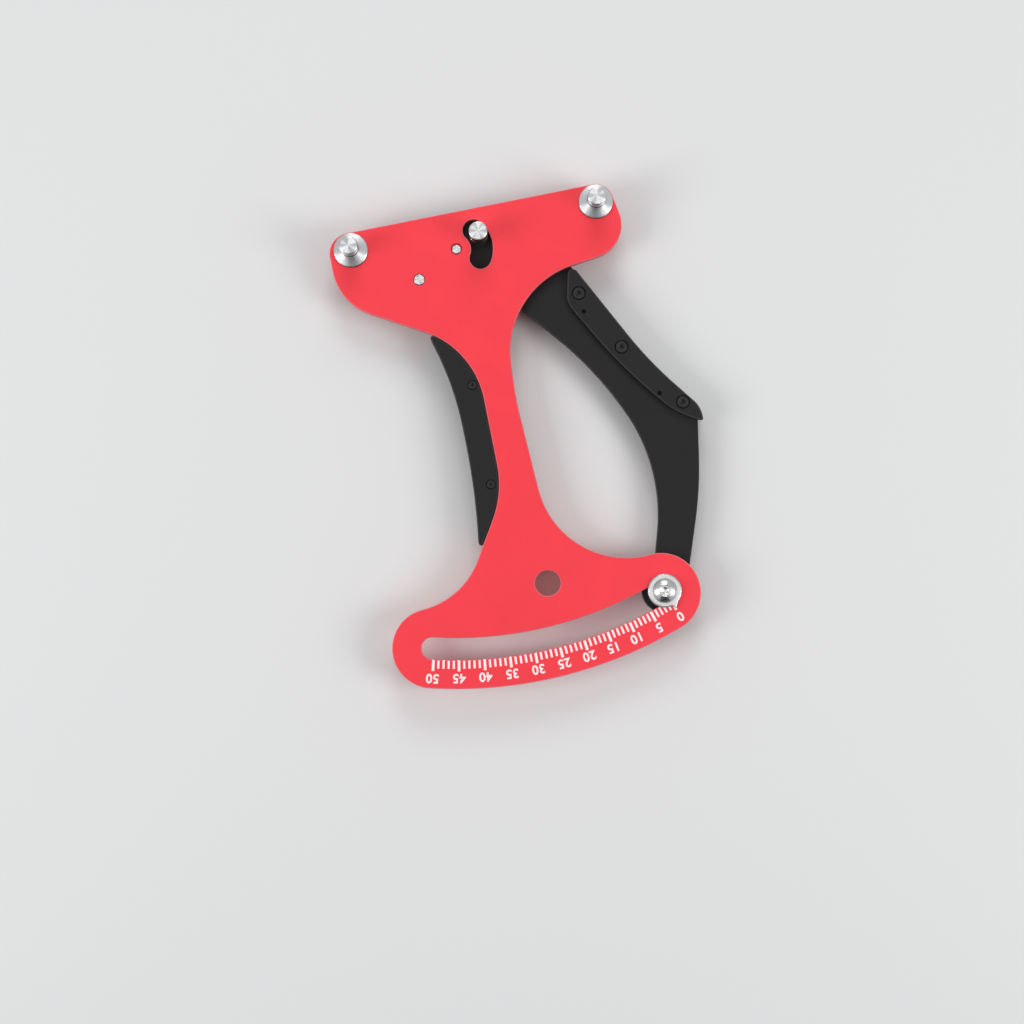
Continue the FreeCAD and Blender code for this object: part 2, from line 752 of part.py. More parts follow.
def pivot_pin():
    """The lever's pin: a reduced end held in the plate, the journal, and a tail with the clip's groove."""
    shaft = "Dim.pivot_radius"
    groove_top = f"{CLIP_FACE}"
    groove_foot = f"{CLIP_FACE} - Dim.clip_thickness"
    tail = f"{groove_foot} - Dim.pivot_tail"
    body = turned("pivot_pin", [
        corner("0", tail),
        corner(f"{shaft} - Dim.seat_clearance * 10", tail),
        corner(shaft, f"{tail} + Dim.seat_clearance * 10"),
        corner(shaft, groove_foot),
        corner("Dim.clip_groove_radius", groove_foot),
        corner("Dim.clip_groove_radius", groove_top),
        corner(shaft, groove_top),
        corner(shaft, "0"),
        corner("Dim.pivot_end_radius", "0"),
        corner("Dim.pivot_end_radius", "Dim.plate_thickness - Dim.pivot_end_recess"),
        corner("0", "Dim.plate_thickness - Dim.pivot_end_recess"),
    ])
    return seat(body)


def pivot_washers():
    bore = "Dim.pivot_radius + Dim.pivot_washer_clearance"
    thickness = "Dim.lever_gap - Dim.side_clearance"
    front = washer("pivot_front_washer", "Dim.pivot_washer_radius", bore, thickness)
    seat(front, z=f"-({thickness})")
    rear = washer("pivot_rear_washer", "Dim.pivot_washer_radius", bore, "Dim.rear_washer_thickness")
    seat(rear, z=f"{REAR_WASHER_FACE} - Dim.rear_washer_thickness")


def pivot_clip():
    """A retaining ring with a mouth, in the pin's groove."""
    inner = "(Dim.clip_groove_radius + Dim.running_clearance)"
    body = new_body("pivot_clip")
    sketch = sketch_on(body, "Ring")
    circles(sketch, [("0", "0", "Dim.clip_radius"), ("0", "0", inner)])
    pad(body, sketch, "Dim.clip_thickness")
    mouth = sketch_on(body, "Mouth")
    half = "Dim.clip_mouth / 2"
    outline(mouth, [
        corner(f"-{half}", f"-{inner} * 2"),
        corner(half, f"-{inner} * 2"),
        corner(half, f"-{inner} / 2"),
        corner(f"-{half}", f"-{inner} / 2"),
    ])
    pocket(body, mouth, upward=True)
    return seat(body, z=f"{CLIP_FACE} - Dim.clip_thickness")


def spring_stud(name, x, y, upper_part):
    """A stud for one end of the spring: a stem with a neck for the spring's loop near its lower end, and an
    upper part given by the stops of its profile."""
    stem = "Dim.stud_stem_radius"
    neck_top = "Dim.spring_level + Dim.stud_neck_length / 2"
    neck_foot = "Dim.spring_level - Dim.stud_neck_length / 2"
    tail = f"{neck_foot} - Dim.stud_foot_length"
    chamfer = "Dim.stud_foot_length / 4"
    body = turned(name, [
        corner("0", tail),
        corner(f"{stem} - {chamfer}", tail),
        corner(stem, f"{tail} + {chamfer}"),
        corner(stem, neck_foot),
        corner("Dim.stud_neck_radius", neck_foot),
        corner("Dim.stud_neck_radius", neck_top),
        corner(stem, neck_top),
    ] + upper_part)
    return seat(body, x, y)


# ---- the lever and what is fixed to it -------------------------------------------------------------------

def lever_arm():
    body = new_body("lever_arm")
    edge = [
        wheel("0", "0", "Dim.lever_head_radius"),
        corner("Dim.lever_throat_x", "Dim.lever_throat_y", "Dim.lever_throat_radius"),
        corner("Dim.lever_inner_top_x", "Dim.lever_inner_top_y", "Dim.lever_inner_top_radius"),
        corner("Dim.lever_inner_foot_x", "Dim.lever_inner_foot_y", "Dim.lever_inner_foot_radius"),
        corner("Dim.lever_ankle_x", "Dim.lever_ankle_y", "Dim.lever_ankle_radius"),
        wheel(POINTER_X, POINTER_Y, "Dim.lever_foot_radius"),
        corner("Dim.lever_outer_x", "Dim.lever_outer_y", "Dim.lever_outer_radius"),
        corner("Dim.lever_shoulder_x", "Dim.lever_shoulder_y", "Dim.lever_grip_shoulder_radius"),
        corner(
            "Dim.lever_grip_finger_x - Dim.grip_inset",
            "Dim.lever_grip_finger_y",
            "Dim.lever_grip_finger_radius",
        ),
        corner("Dim.lever_back_x", "Dim.lever_back_y", "Dim.lever_back_radius"),
    ]
    pad(body, outline(sketch_on(body, "Outline"), edge), "Dim.lever_thickness")
    dress(body, "Chamfer", rim_edges(body.Shape, number("Dim.lever_thickness")), "Dim.lever_chamfer")
    spots = [
        ("0", "0", "Dim.pivot_radius + Dim.running_clearance"),
        (MOVING_POST_X, MOVING_POST_Y, "Dim.post_screw_radius + Dim.screw_hole_clearance"),
        ("Dim.lever_stud_x", "Dim.lever_stud_y", "Dim.stud_neck_radius + Dim.seat_clearance"),
        (POINTER_X, POINTER_Y, "Dim.pointer_screw_radius + Dim.screw_hole_clearance"),
    ]
    grip_hole = "Dim.lever_grip_screw_radius + Dim.screw_hole_clearance"
    spots += screw_spots("lever_grip_screw", LEVER_GRIP_SCREWS, grip_hole)
    pocket(body, circles(sketch_on(body, "Holes"), spots), upward=True)
    return seat(body, z=LEVER_BACK)


def moving_post():
    spoke_post("moving_post", "0", None, MOVING_POST_X, MOVING_POST_Y, LEVER_FACE)
    screw = socket_screw("moving_post_screw", "post_screw", "Dim.post_screw_length")
    seat(screw, MOVING_POST_X, MOVING_POST_Y, LEVER_BACK, turned_over=True)


def pointer_group():
    """The stack in the scale slot: slide washer, sleeve, lower washer, pointer, screw and nut."""
    bore = "Dim.pointer_screw_radius + Dim.seat_clearance"
    slide = washer(
        "slide_washer",
        "Dim.slide_washer_radius",
        "Dim.sleeve_radius + Dim.seat_clearance",
        "Dim.lever_gap - Dim.side_clearance",
    )
    seat(slide, POINTER_X, POINTER_Y, LEVER_FACE)
    sleeve = washer("pointer_sleeve", "Dim.sleeve_radius", bore, f"{SLEEVE_TOP} + Dim.lever_gap")
    seat(sleeve, POINTER_X, POINTER_Y, LEVER_FACE)
    lower = washer("pointer_washer", "Dim.pointer_washer_radius", bore, "Dim.pointer_washer_thickness")
    seat(lower, POINTER_X, POINTER_Y, SLEEVE_TOP)
    pointer = new_body("scale_pointer")
    drop = [
        wheel("0", "0", "Dim.pointer_radius"),
        corner("Dim.pointer_reach", "Dim.pointer_tip_offset", "Dim.pointer_tip_radius"),
    ]
    pad(pointer, outline(sketch_on(pointer, "Outline"), drop), "Dim.pointer_thickness")
    pocket(pointer, circles(sketch_on(pointer, "Bore"), [("0", "0", bore)]), upward=True)
    rim = rim_edges(pointer.Shape, number("Dim.pointer_thickness"))
    dress(pointer, "Chamfer", rim, "Dim.pointer_chamfer")
    seat(pointer, POINTER_X, POINTER_Y, POINTER_FACE, turn="Dim.zero_angle - 90")
    length = f"{POINTER_TOP} - {LEVER_BACK} + Dim.pointer_nut_thickness + Dim.pointer_screw_tail"
    screw = socket_screw("pointer_screw", "pointer_screw", length, "Dim.pointer_screw_head_height * 0.8")
    seat(screw, POINTER_X, POINTER_Y, POINTER_TOP)
    nut = new_body("pointer_nut")
    pad(nut, hexagon(sketch_on(nut, "Flats"), "Dim.pointer_nut_across_flats"), "Dim.pointer_nut_thickness")
    pocket(nut, circles(sketch_on(nut, "Thread"), [("0", "0", bore)]), upward=True)
    seat(nut, POINTER_X, POINTER_Y, f"{LEVER_BACK} - Dim.pointer_nut_thickness", turn="Dim.zero_angle")


# ---- the grips -------------------------------------------------------------------------------------------

def lever_grip_outline(toe_radius):
    """The right grip's edge from its upper tip, counter-clockwise, with its toe rounded to a radius."""
    return [
        wheel("Dim.lever_grip_tip_x", "Dim.lever_grip_tip_y", "Dim.lever_grip_tip_radius"),
        corner("Dim.lever_grip_heel_x", "Dim.lever_grip_heel_y", "Dim.lever_grip_heel_radius"),
        corner("Dim.lever_grip_palm_x", "Dim.lever_grip_palm_y", "Dim.lever_grip_palm_radius"),
        corner("Dim.lever_grip_sole_x", "Dim.lever_grip_sole_y", "Dim.lever_grip_sole_radius"),
        corner("Dim.lever_grip_toe_x", "Dim.lever_grip_toe_y", toe_radius),
        corner("Dim.lever_grip_shoulder_x", "Dim.lever_grip_shoulder_y", "Dim.lever_grip_shoulder_radius"),
        corner("Dim.lever_grip_finger_x", "Dim.lever_grip_finger_y", "Dim.lever_grip_finger_radius"),
    ]


def plate_grip_outline():
    """The left grip's edge from its upper tip, counter-clockwise. Its inner side follows the plate's waist at
    a gap, so its inner rounds are the waist's own two hollows. A hollow's centre lies off its corner by the
    radius times the tangent of half the turn, and the tips lie in those hollows by their angle."""
    outer = "Dim.waist_left_x - Dim.plate_grip_width"
    cheek_run = "(Dim.waist_left_x - Dim.left_post_x + Dim.left_margin)"
    cheek_turn = f"atan({cheek_run} / (Dim.left_cheek_y - Dim.waist_left_top_y))"
    haunch_drop = "(Dim.waist_left_foot_y - Dim.left_haunch_y)"
    haunch_turn = f"atan((Dim.waist_left_x - Dim.left_haunch_x) / {haunch_drop})"
    hollows = {
        "top": f"(Dim.waist_left_top_y - Dim.waist_left_top_radius * tan({cheek_turn} / 2))",
        "foot": f"(Dim.waist_left_foot_y + Dim.waist_left_foot_radius * tan({haunch_turn} / 2))",
    }
    stops = {}
    for end, centre_y in hollows.items():
        radius = f"Dim.waist_left_{end}_radius"
        centre_x = f"(Dim.waist_left_x - {radius})"
        reach = f"({radius} - Dim.plate_grip_gap - Dim.plate_grip_tip_radius + Dim.plate_grip_{end}_overrun)"
        angle = f"Dim.plate_grip_{end}_angle"
        stops[f"{end}_hollow"] = wheel(centre_x, centre_y, f"({radius} - Dim.plate_grip_gap)")
        stops[f"{end}_tip"] = wheel(
            f"{centre_x} + {reach} * cos({angle})",
            f"{centre_y} + {reach} * sin({angle})",
            "Dim.plate_grip_tip_radius",
        )
    return [
        stops["top_tip"],
        corner(outer, "Dim.waist_left_top_y + Dim.plate_grip_palm_rise", "Dim.plate_grip_palm_radius"),
        corner(outer, "Dim.waist_left_foot_y + Dim.plate_grip_heel_rise", "Dim.plate_grip_heel_radius"),
        stops["foot_tip"],
        stops["foot_hollow"],
        stops["top_hollow"],
    ]


def grip_front(name, edge, screw, places, height, base):
    """The front shell of a grip: a slab with a chamfered rim, screw holes and their recesses."""
    body = new_body(name)
    pad(body, outline(sketch_on(body, "Outline"), edge), height)
    dress(body, "Chamfer", rim_edges(body.Shape, number(height)), "Dim.grip_front_chamfer")
    hole = f"Dim.{screw}_radius + Dim.screw_hole_clearance"
    pocket(body, circles(sketch_on(body, "ScrewHoles"), screw_spots(screw, places, hole)), upward=True)
    recesses = screw_spots(screw, places, f"Dim.{screw}_recess_radius")
    pocket(body, circles(sketch_on(body, "Recesses", level=height), recesses), f"Dim.{screw}_recess_depth")
    if name == "plate_grip_front":
        step = sketch_on(body, "TongueStep")
        outline(step, tongue_outline("Dim.tongue_clearance", "Dim.tongue_root_x"))
        pocket(body, step, "Dim.tongue_thickness", upward=True)
    else:
        dowels = screw_spots("dowel", DOWEL_HOLES, "Dim.dowel_hole_radius")
        pocket(body, circles(sketch_on(body, "DowelHoles", level=height), dowels), "Dim.dowel_hole_depth")
    return seat(body, z=base)


def grip_rear(name, edge, screw, places, top, screw_seat):
    """The rear shell of a grip: a block down to the level on which the tool lies, chamfered below by a good
    part of its tip's radius. Its blind holes are a little deeper than the screws, which hang from their seat."""
    body = new_body(name)
    depth = f"{top} - Dim.rest_level"
    pad(body, outline(sketch_on(body, "Outline"), edge), depth)
    tip_radius = f"Dim.{name.replace('_rear', '_tip_radius')}"
    dress(body, "Chamfer", rim_edges(body.Shape, 0.0), f"{tip_radius} * 0.75")
    spots = screw_spots(screw, places, f"Dim.{screw}_radius")
    hole = f"{top} - ({screw_seat} - Dim.{screw}_length) + Dim.grip_hole_spare"
    pocket(body, circles(sketch_on(body, "ScrewHoles", level=depth), spots), hole)
    return seat(body, z="Dim.rest_level")


def screw_seats():
    """The level on which the heads of each grip's screws stand."""
    return {
        "plate_grip_screw": "(Dim.plate_grip_front_height - Dim.plate_grip_screw_recess_depth)",
        "lever_grip_screw": f"({LEVER_FACE} + Dim.lever_grip_front_height - Dim.lever_grip_screw_recess_depth)",
    }


def grips():
    seats = screw_seats()
    grip_front(
        "lever_grip_front",
        lever_grip_outline("Dim.lever_grip_toe_radius"),
        "lever_grip_screw",
        LEVER_GRIP_SCREWS,
        "Dim.lever_grip_front_height",
        LEVER_FACE,
    )
    blunt = lever_grip_outline("Dim.lever_grip_rear_toe_radius")
    grip_rear(
        "lever_grip_rear",
        blunt,
        "lever_grip_screw",
        LEVER_GRIP_SCREWS,
        LEVER_BACK,
        seats["lever_grip_screw"],
    )
    grip_front(
        "plate_grip_front",
        plate_grip_outline(),
        "plate_grip_screw",
        PLATE_GRIP_SCREWS,
        "Dim.plate_grip_front_height",
        "0",
    )
    grip_rear(
        "plate_grip_rear",
        plate_grip_outline(),
        "plate_grip_screw",
        PLATE_GRIP_SCREWS,
        "0",
        seats["plate_grip_screw"],
    )


def grip_screws():
    for screw, level in screw_seats().items():
        for place in SPOTS[screw]:
            body = socket_screw(f"{screw}_{place}", screw, f"Dim.{screw}_length")
            seat(body, f"Dim.{screw}_{place}_x", f"Dim.{screw}_{place}_y", level)


# ---- the spring ------------------------------------------------------------------------------------------

def spun(points, centre, axis):
    """A solid made by spinning a closed shape, given by its points, about an axis through a centre."""
    return Part.Face(Part.makePolygon(points + points[:1])).revolve(centre, axis, 360)


def return_spring():
    """An extension spring along its own X axis from stud to stud: a coil, drawn as a sleeve with a rib for
    each turn, and a full loop of six-sided wire round the neck of each stud."""
    coil = number("Dim.spring_radius")
    wire = number("Dim.spring_wire_radius")
    turns = int(number("Dim.spring_turns"))
    slack = number("Dim.spring_loop_clearance")
    anchor = FreeCAD.Vector(number("Dim.anchor_stud_x"), number("Dim.anchor_stud_y"), 0)
    other = FreeCAD.Vector(number("Dim.lever_stud_x"), number("Dim.lever_stud_y"), 0)
    span = (other - anchor).Length
    loop = number("Dim.stud_neck_radius") + slack + wire
    coil_start = loop + coil
    pitch = (span - 2.0 * coil_start) / turns
    rim = [FreeCAD.Vector(coil_start, 0, coil - wire)]
    for turn in range(turns):
        rim.append(FreeCAD.Vector(coil_start + pitch * turn, 0, coil))
        rim.append(FreeCAD.Vector(coil_start + pitch * (turn + 0.5), 0, coil + wire))
    rim.append(FreeCAD.Vector(span - coil_start, 0, coil))
    rim.append(FreeCAD.Vector(span - coil_start, 0, coil - wire))
    pieces = [spun(rim, FreeCAD.Vector(), FreeCAD.Vector(1, 0, 0))]
    for stud, side in ((0.0, 1.0), (span, -1.0)):
        # The pull brings the far side of the loop against the stud's neck.
        centre = FreeCAD.Vector(stud + side * slack, 0, 0)
        section = []
        for corner_number in range(6):
            angle = math.radians(60 * corner_number)
            across = FreeCAD.Vector(loop + wire * math.cos(angle), 0, wire * math.sin(angle))
            section.append(centre + across)
        pieces.append(spun(section, centre, UP))
        near = centre + FreeCAD.Vector(side * loop, 0, 0)
        tail = FreeCAD.Vector(stud + side * (coil_start + wire), 0, -coil)
        pieces.append(Part.makeCylinder(wire * 0.8, (tail - near).Length, near, tail - near))
    spring = doc.addObject("Part::Feature", "return_spring")
    spring.Label = "return_spring"
    spring.Shape = pieces[0].multiFuse(pieces[1:])
    angle = math.degrees(math.atan2(other.y - anchor.y, other.x - anchor.x))
    base = FreeCAD.Vector(
        anchor.x - number("Dim.hanging_hole_x"),
        anchor.y - number("Dim.hanging_hole_y"),
        number("Dim.spring_level"),
    )
    spring.Placement = FreeCAD.Placement(base, FreeCAD.Rotation(UP, angle))
    COMPLETE.append(spring)


def studs():
    spring_stud("spring_anchor_stud", "Dim.anchor_stud_x", "Dim.anchor_stud_y", [
        corner("Dim.stud_stem_radius", "-Dim.anchor_collar_length"),
        corner("Dim.anchor_collar_radius", "-Dim.anchor_collar_length"),
        corner("Dim.anchor_collar_radius", "0"),
        corner("Dim.anchor_stud_radius", "0"),
        corner("Dim.anchor_stud_radius", "Dim.plate_thickness"),
        corner("0", "Dim.plate_thickness"),
    ])
    lever_end = f"{LEVER_FACE} - Dim.lever_chamfer"
    spring_stud("lever_spring_stud", "Dim.lever_stud_x", "Dim.lever_stud_y", [
        corner("Dim.stud_stem_radius", LEVER_BACK),
        corner("Dim.stud_neck_radius", LEVER_BACK),
        corner("Dim.stud_neck_radius", lever_end),
        corner("0", lever_end),
    ])


# ---- build, check and write ------------------------------------------------------------------------------

def check_and_write():
    doc.removeObject(reckoner.Name)
    doc.recompute()
    for item in doc.Objects:
        if "Invalid" in item.State or "Error" in item.State:
            raise RuntimeError(f"{item.Name} failed: {item.State}")
    for part in COMPLETE:
        if part.Shape.isNull() or not part.Shape.isValid() or not part.Shape.Solids:
            raise RuntimeError(f"{part.Label} has no valid solid")
    os.makedirs("parts", exist_ok=True)
    for part in COMPLETE:
        part.Shape.exportStep(f"parts/{part.Label}.step")
        box = part.Shape.BoundBox
        levels = f"z {box.ZMin:.2f} to {box.ZMax:.2f}"
        print(f"{part.Label}: {len(part.Shape.Solids)} solid, {part.Shape.Volume:.1f} mm3, {levels}")


front_plate()
fixed_posts()
pivot_pin()
pivot_washers()
pivot_clip()
lever_arm()
moving_post()
pointer_group()
grips()
grip_screws()
studs()
return_spring()
check_and_write()
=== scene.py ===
import bpy
import numpy as np
from mathutils import Matrix, Vector


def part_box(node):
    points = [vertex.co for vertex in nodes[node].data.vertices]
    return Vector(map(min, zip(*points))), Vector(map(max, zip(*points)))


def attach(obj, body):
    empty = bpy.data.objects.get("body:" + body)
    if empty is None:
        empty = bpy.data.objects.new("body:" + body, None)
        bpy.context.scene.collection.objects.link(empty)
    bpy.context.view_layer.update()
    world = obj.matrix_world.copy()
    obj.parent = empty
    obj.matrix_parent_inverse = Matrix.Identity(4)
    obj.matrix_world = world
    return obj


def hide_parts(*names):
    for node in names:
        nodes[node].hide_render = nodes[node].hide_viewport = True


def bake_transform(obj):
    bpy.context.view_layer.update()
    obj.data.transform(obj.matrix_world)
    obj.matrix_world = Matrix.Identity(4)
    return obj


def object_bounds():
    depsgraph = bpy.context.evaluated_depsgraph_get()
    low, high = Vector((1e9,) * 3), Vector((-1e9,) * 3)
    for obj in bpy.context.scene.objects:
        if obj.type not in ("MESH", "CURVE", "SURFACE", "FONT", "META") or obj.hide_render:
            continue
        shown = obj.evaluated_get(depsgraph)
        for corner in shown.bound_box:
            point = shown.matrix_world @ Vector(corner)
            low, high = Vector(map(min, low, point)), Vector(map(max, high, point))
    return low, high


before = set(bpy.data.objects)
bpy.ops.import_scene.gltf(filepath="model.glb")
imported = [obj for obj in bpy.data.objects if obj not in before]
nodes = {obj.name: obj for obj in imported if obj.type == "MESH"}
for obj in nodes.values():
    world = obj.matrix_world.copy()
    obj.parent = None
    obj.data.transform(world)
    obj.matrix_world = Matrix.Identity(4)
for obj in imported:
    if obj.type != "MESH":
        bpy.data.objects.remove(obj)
cad_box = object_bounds()

# ---- The camera -------------------------------------------------------------------------------------------
# It looks down on the tool from just under a metre, a little to the scale's side of its middle, so the posts
# lean away from it and show their stems.
lens_place = Vector((-0.01155, -0.00054, 0.94993))
aim = Vector((-0.00909, 0.0329, 0.004))
picture_top = Vector((0.19543, 0.98072, 0.0))
backward = (lens_place - aim).normalized()
rightward = picture_top.cross(backward).normalized()
camera = bpy.data.objects.new("camera", bpy.data.cameras.new("camera"))
camera.data.lens = 77.64
camera.data.sensor_width = 36.0
turn = Matrix((rightward, backward.cross(rightward), backward)).transposed()
camera.matrix_world = Matrix.Translation(lens_place) @ turn.to_4x4()
bpy.context.scene.collection.objects.link(camera)
bpy.context.scene.camera = camera
bpy.context.scene.view_settings.view_transform = "Standard"

# ---- The lamps and the studio -----------------------------------------------------------------------------
# Three soft boxes stand left, right and beyond the posts, so turned metal shows its bright wedges. The room
# is a pale tent, dark at the horizon and brightest overhead, with one dark gap on the scale's side.
tool_middle = Vector((0.0, 0.07, 0.0))


def soft_box(name, place, size, watts):
    """A lamp of a width and a height that faces the middle of the tool."""
    lamp = bpy.data.objects.new(name, bpy.data.lights.new(name, "AREA"))
    lamp.data.shape = "RECTANGLE"
    lamp.data.size, lamp.data.size_y = size
    lamp.data.energy = watts
    facing = (Vector(place) - tool_middle).to_track_quat("Z", "Y").to_matrix().to_4x4()
    lamp.matrix_world = Matrix.Translation(place) @ facing
    bpy.context.scene.collection.objects.link(lamp)


soft_box("left_soft_box", place=(-0.8, 0.02, 0.7), size=(0.45, 0.55), watts=4.0)
soft_box("right_soft_box", place=(0.72, -0.3, 0.7), size=(0.45, 0.55), watts=4.0)
soft_box("far_soft_box", place=(0.15, 0.9, 0.74), size=(0.45, 0.45), watts=3.1)


def add_node(tree, kind, feeds=None, **settings):
    """A shader node with its settings, and its inputs set to values or linked to other nodes' outputs."""
    added = tree.nodes.new(kind)
    for name, value in settings.items():
        setattr(added, name, value)
    for name, feed in (feeds or {}).items():
        if isinstance(feed, bpy.types.NodeSocket):
            tree.links.new(feed, added.inputs[name])
        else:
            added.inputs[name].default_value = feed
    return added


world = bpy.data.worlds.new("studio")
bpy.context.scene.world = world
world.use_nodes = True
room = world.node_tree
direction = add_node(room, "ShaderNodeTexCoord").outputs["Generated"]
upward = add_node(room, "ShaderNodeSeparateXYZ", {0: direction}).outputs["Z"]


def ramp(source, low, high, start, end):
    """A smooth step from the start value to the end value while the source goes from low to high."""
    feeds = {"Value": source, "From Min": low, "From Max": high, "To Min": start, "To Max": end}
    return add_node(room, "ShaderNodeMapRange", feeds, interpolation_type="SMOOTHSTEP").outputs["Result"]


# The tent brightens from the horizon up its walls, and once more at its crown.
walls = ramp(upward, low=0.0, high=0.22, start=0.05, end=0.44)
crown = ramp(upward, low=0.84, high=0.96, start=0.0, end=0.42)
tent = add_node(room, "ShaderNodeMath", {0: walls, 1: crown}, operation="ADD").outputs[0]

# The gap dims each direction whose level part points near enough to the gap's, except close to the zenith.
gap_way, gap_depth = (-0.195, -0.981, 0.0), 0.97
level_part = add_node(room, "ShaderNodeVectorMath", {0: direction, 1: (1.0, 1.0, 0.0)}, operation="MULTIPLY")
level_way = add_node(room, "ShaderNodeVectorMath", {0: level_part.outputs[0]}, operation="NORMALIZE")
pair = {0: level_way.outputs[0], 1: gap_way}
nearness = add_node(room, "ShaderNodeVectorMath", pair, operation="DOT_PRODUCT").outputs["Value"]
dimming = ramp(nearness, low=0.82, high=0.9, start=0.0, end=-gap_depth)
below_zenith = ramp(upward, low=0.96, high=0.99, start=1.0, end=0.0)
gap = add_node(room, "ShaderNodeMath", {0: dimming, 1: below_zenith, 2: 1.0}, operation="MULTIPLY_ADD")
strength = add_node(room, "ShaderNodeMath", {0: tent, 1: gap.outputs[0]}, operation="MULTIPLY")
room.links.new(strength.outputs[0], room.nodes["Background"].inputs["Strength"])
room.nodes["Background"].inputs["Color"].default_value = (0.97, 0.985, 1.0, 1.0)

# ---- The floor --------------------------------------------------------------------------------------------
# A plain pale sheet with a matt face, five metres square. It lies at the level on which the backs of the
# grips rest.


def add_mesh(name, points, faces, smooth=True):
    """A new object at the origin from arrays of points in metres and of faces by point number."""
    mesh = bpy.data.meshes.new(name)
    mesh.from_pydata(np.asarray(points, float).reshape(-1, 3), [], faces)
    mesh.polygons.foreach_set("use_smooth", np.full(len(mesh.polygons), smooth))
    mesh.update()
    thing = bpy.data.objects.new(name, mesh)
    bpy.context.scene.collection.objects.link(thing)
    return thing


def new_material(name, **looks):
    """A material of one Principled shader, with its plain sockets set by name, underscores for spaces."""
    material = bpy.data.materials.new(name)
    material.use_nodes = True
    shader = material.node_tree.nodes["Principled BSDF"]
    for socket, value in looks.items():
        shader.inputs[socket.replace("_", " ")].default_value = value
    return material, material.node_tree, shader


def finish_with(material, *pieces):
    """Gives each piece one material, in place of any that it had."""
    for piece in pieces:
        piece.data.materials.clear()
        piece.data.materials.append(material)


floor_reach = 2.5
floor_corners = np.array([[-1, -1], [1, -1], [1, 1], [-1, 1]]) * floor_reach
floor = add_mesh("floor", np.column_stack([floor_corners, np.full(4, cad_box[0][2])]), [[0, 1, 2, 3]])
floor_material, _, _ = new_material("pale_floor", Base_Color=(0.74, 0.74, 0.74, 1.0), Roughness=0.85)
finish_with(floor_material, floor)

# ---- The front plate --------------------------------------------------------------------------------------
# A 4 mm aluminium plate, milled to its outline, blasted to a fine even grain, anodised red and given a thin
# chamfer, painted lighter as a painted highlight together with worn bare metal. Where polished pieces
# reflect it, its colour is painted darker, a painted darker reflection. It carries the fixed posts, the
# scale and the left grip.


def effect_group(name, inputs, outputs):
    """An empty shader node group with float inputs, given as name: default, and named float outputs."""
    group = bpy.data.node_groups.new(name, "ShaderNodeTree")
    for label, default in inputs.items():
        socket = group.interface.new_socket(label, in_out="INPUT", socket_type="NodeSocketFloat")
        socket.default_value = default
    for label in outputs:
        group.interface.new_socket(label, in_out="OUTPUT", socket_type="NodeSocketFloat")
    return group, add_node(group, "NodeGroupInput").outputs, add_node(group, "NodeGroupOutput").inputs


# Fine grain: an even grain of one size in metres, and slow patches a hundred times as wide.
patch_width = 100.0
grain_group, given, result = effect_group("fine_grain", {"Size": 0.0002}, ("Grain", "Patches"))
spot = add_node(grain_group, "ShaderNodeTexCoord").outputs["Object"]
tight = add_node(grain_group, "ShaderNodeMath", {0: 1.0, 1: given["Size"]}, operation="DIVIDE").outputs[0]
loose = add_node(grain_group, "ShaderNodeMath", {0: tight, 1: patch_width}, operation="DIVIDE").outputs[0]
for scale, detail, output in ((tight, 2.0, "Grain"), (loose, 3.0, "Patches")):
    noise = add_node(grain_group, "ShaderNodeTexNoise", {"Vector": spot, "Scale": scale, "Detail": detail})
    grain_group.links.new(noise.outputs[0], result[output])

# Edge sheen and wear: 1 on a chamfer, where the surface slants, broken up by small nicks, and 0 on flats and
# walls. Where it is 1 a lighter colour is painted on, a painted highlight together with worn bare metal.
chamfer_slant, either_way, nick_scale = 0.6, 0.3, 900.0
edge_sheen_and_wear_group, given, result = effect_group("edge_sheen_and_wear", {"Nicks": 0.3}, ("Mask",))
normal = add_node(edge_sheen_and_wear_group, "ShaderNodeNewGeometry").outputs["True Normal"]
rise = add_node(edge_sheen_and_wear_group, "ShaderNodeSeparateXYZ", {0: normal}).outputs["Z"]
slant = add_node(edge_sheen_and_wear_group, "ShaderNodeMath", {0: rise}, operation="ABSOLUTE").outputs[0]
limits = {0: slant, 1: chamfer_slant, 2: either_way}
chamfered = add_node(edge_sheen_and_wear_group, "ShaderNodeMath", limits, operation="COMPARE").outputs[0]
spot = add_node(edge_sheen_and_wear_group, "ShaderNodeTexCoord").outputs["Object"]
noise = add_node(edge_sheen_and_wear_group, "ShaderNodeTexNoise", {"Vector": spot, "Scale": nick_scale, "Detail": 3.0})
nicks = add_node(edge_sheen_and_wear_group, "ShaderNodeMath", {0: noise.outputs[0], 1: given["Nicks"]}, operation="MULTIPLY")
whole = add_node(edge_sheen_and_wear_group, "ShaderNodeMath", {0: 1.0, 1: nicks.outputs[0]}, operation="SUBTRACT")
mask = add_node(edge_sheen_and_wear_group, "ShaderNodeMath", {0: chamfered, 1: whole.outputs[0]}, operation="MULTIPLY")
edge_sheen_and_wear_group.links.new(mask.outputs[0], result["Mask"])

# A noise keeps mostly between these two values.
noise_low, noise_high = 0.3, 0.7


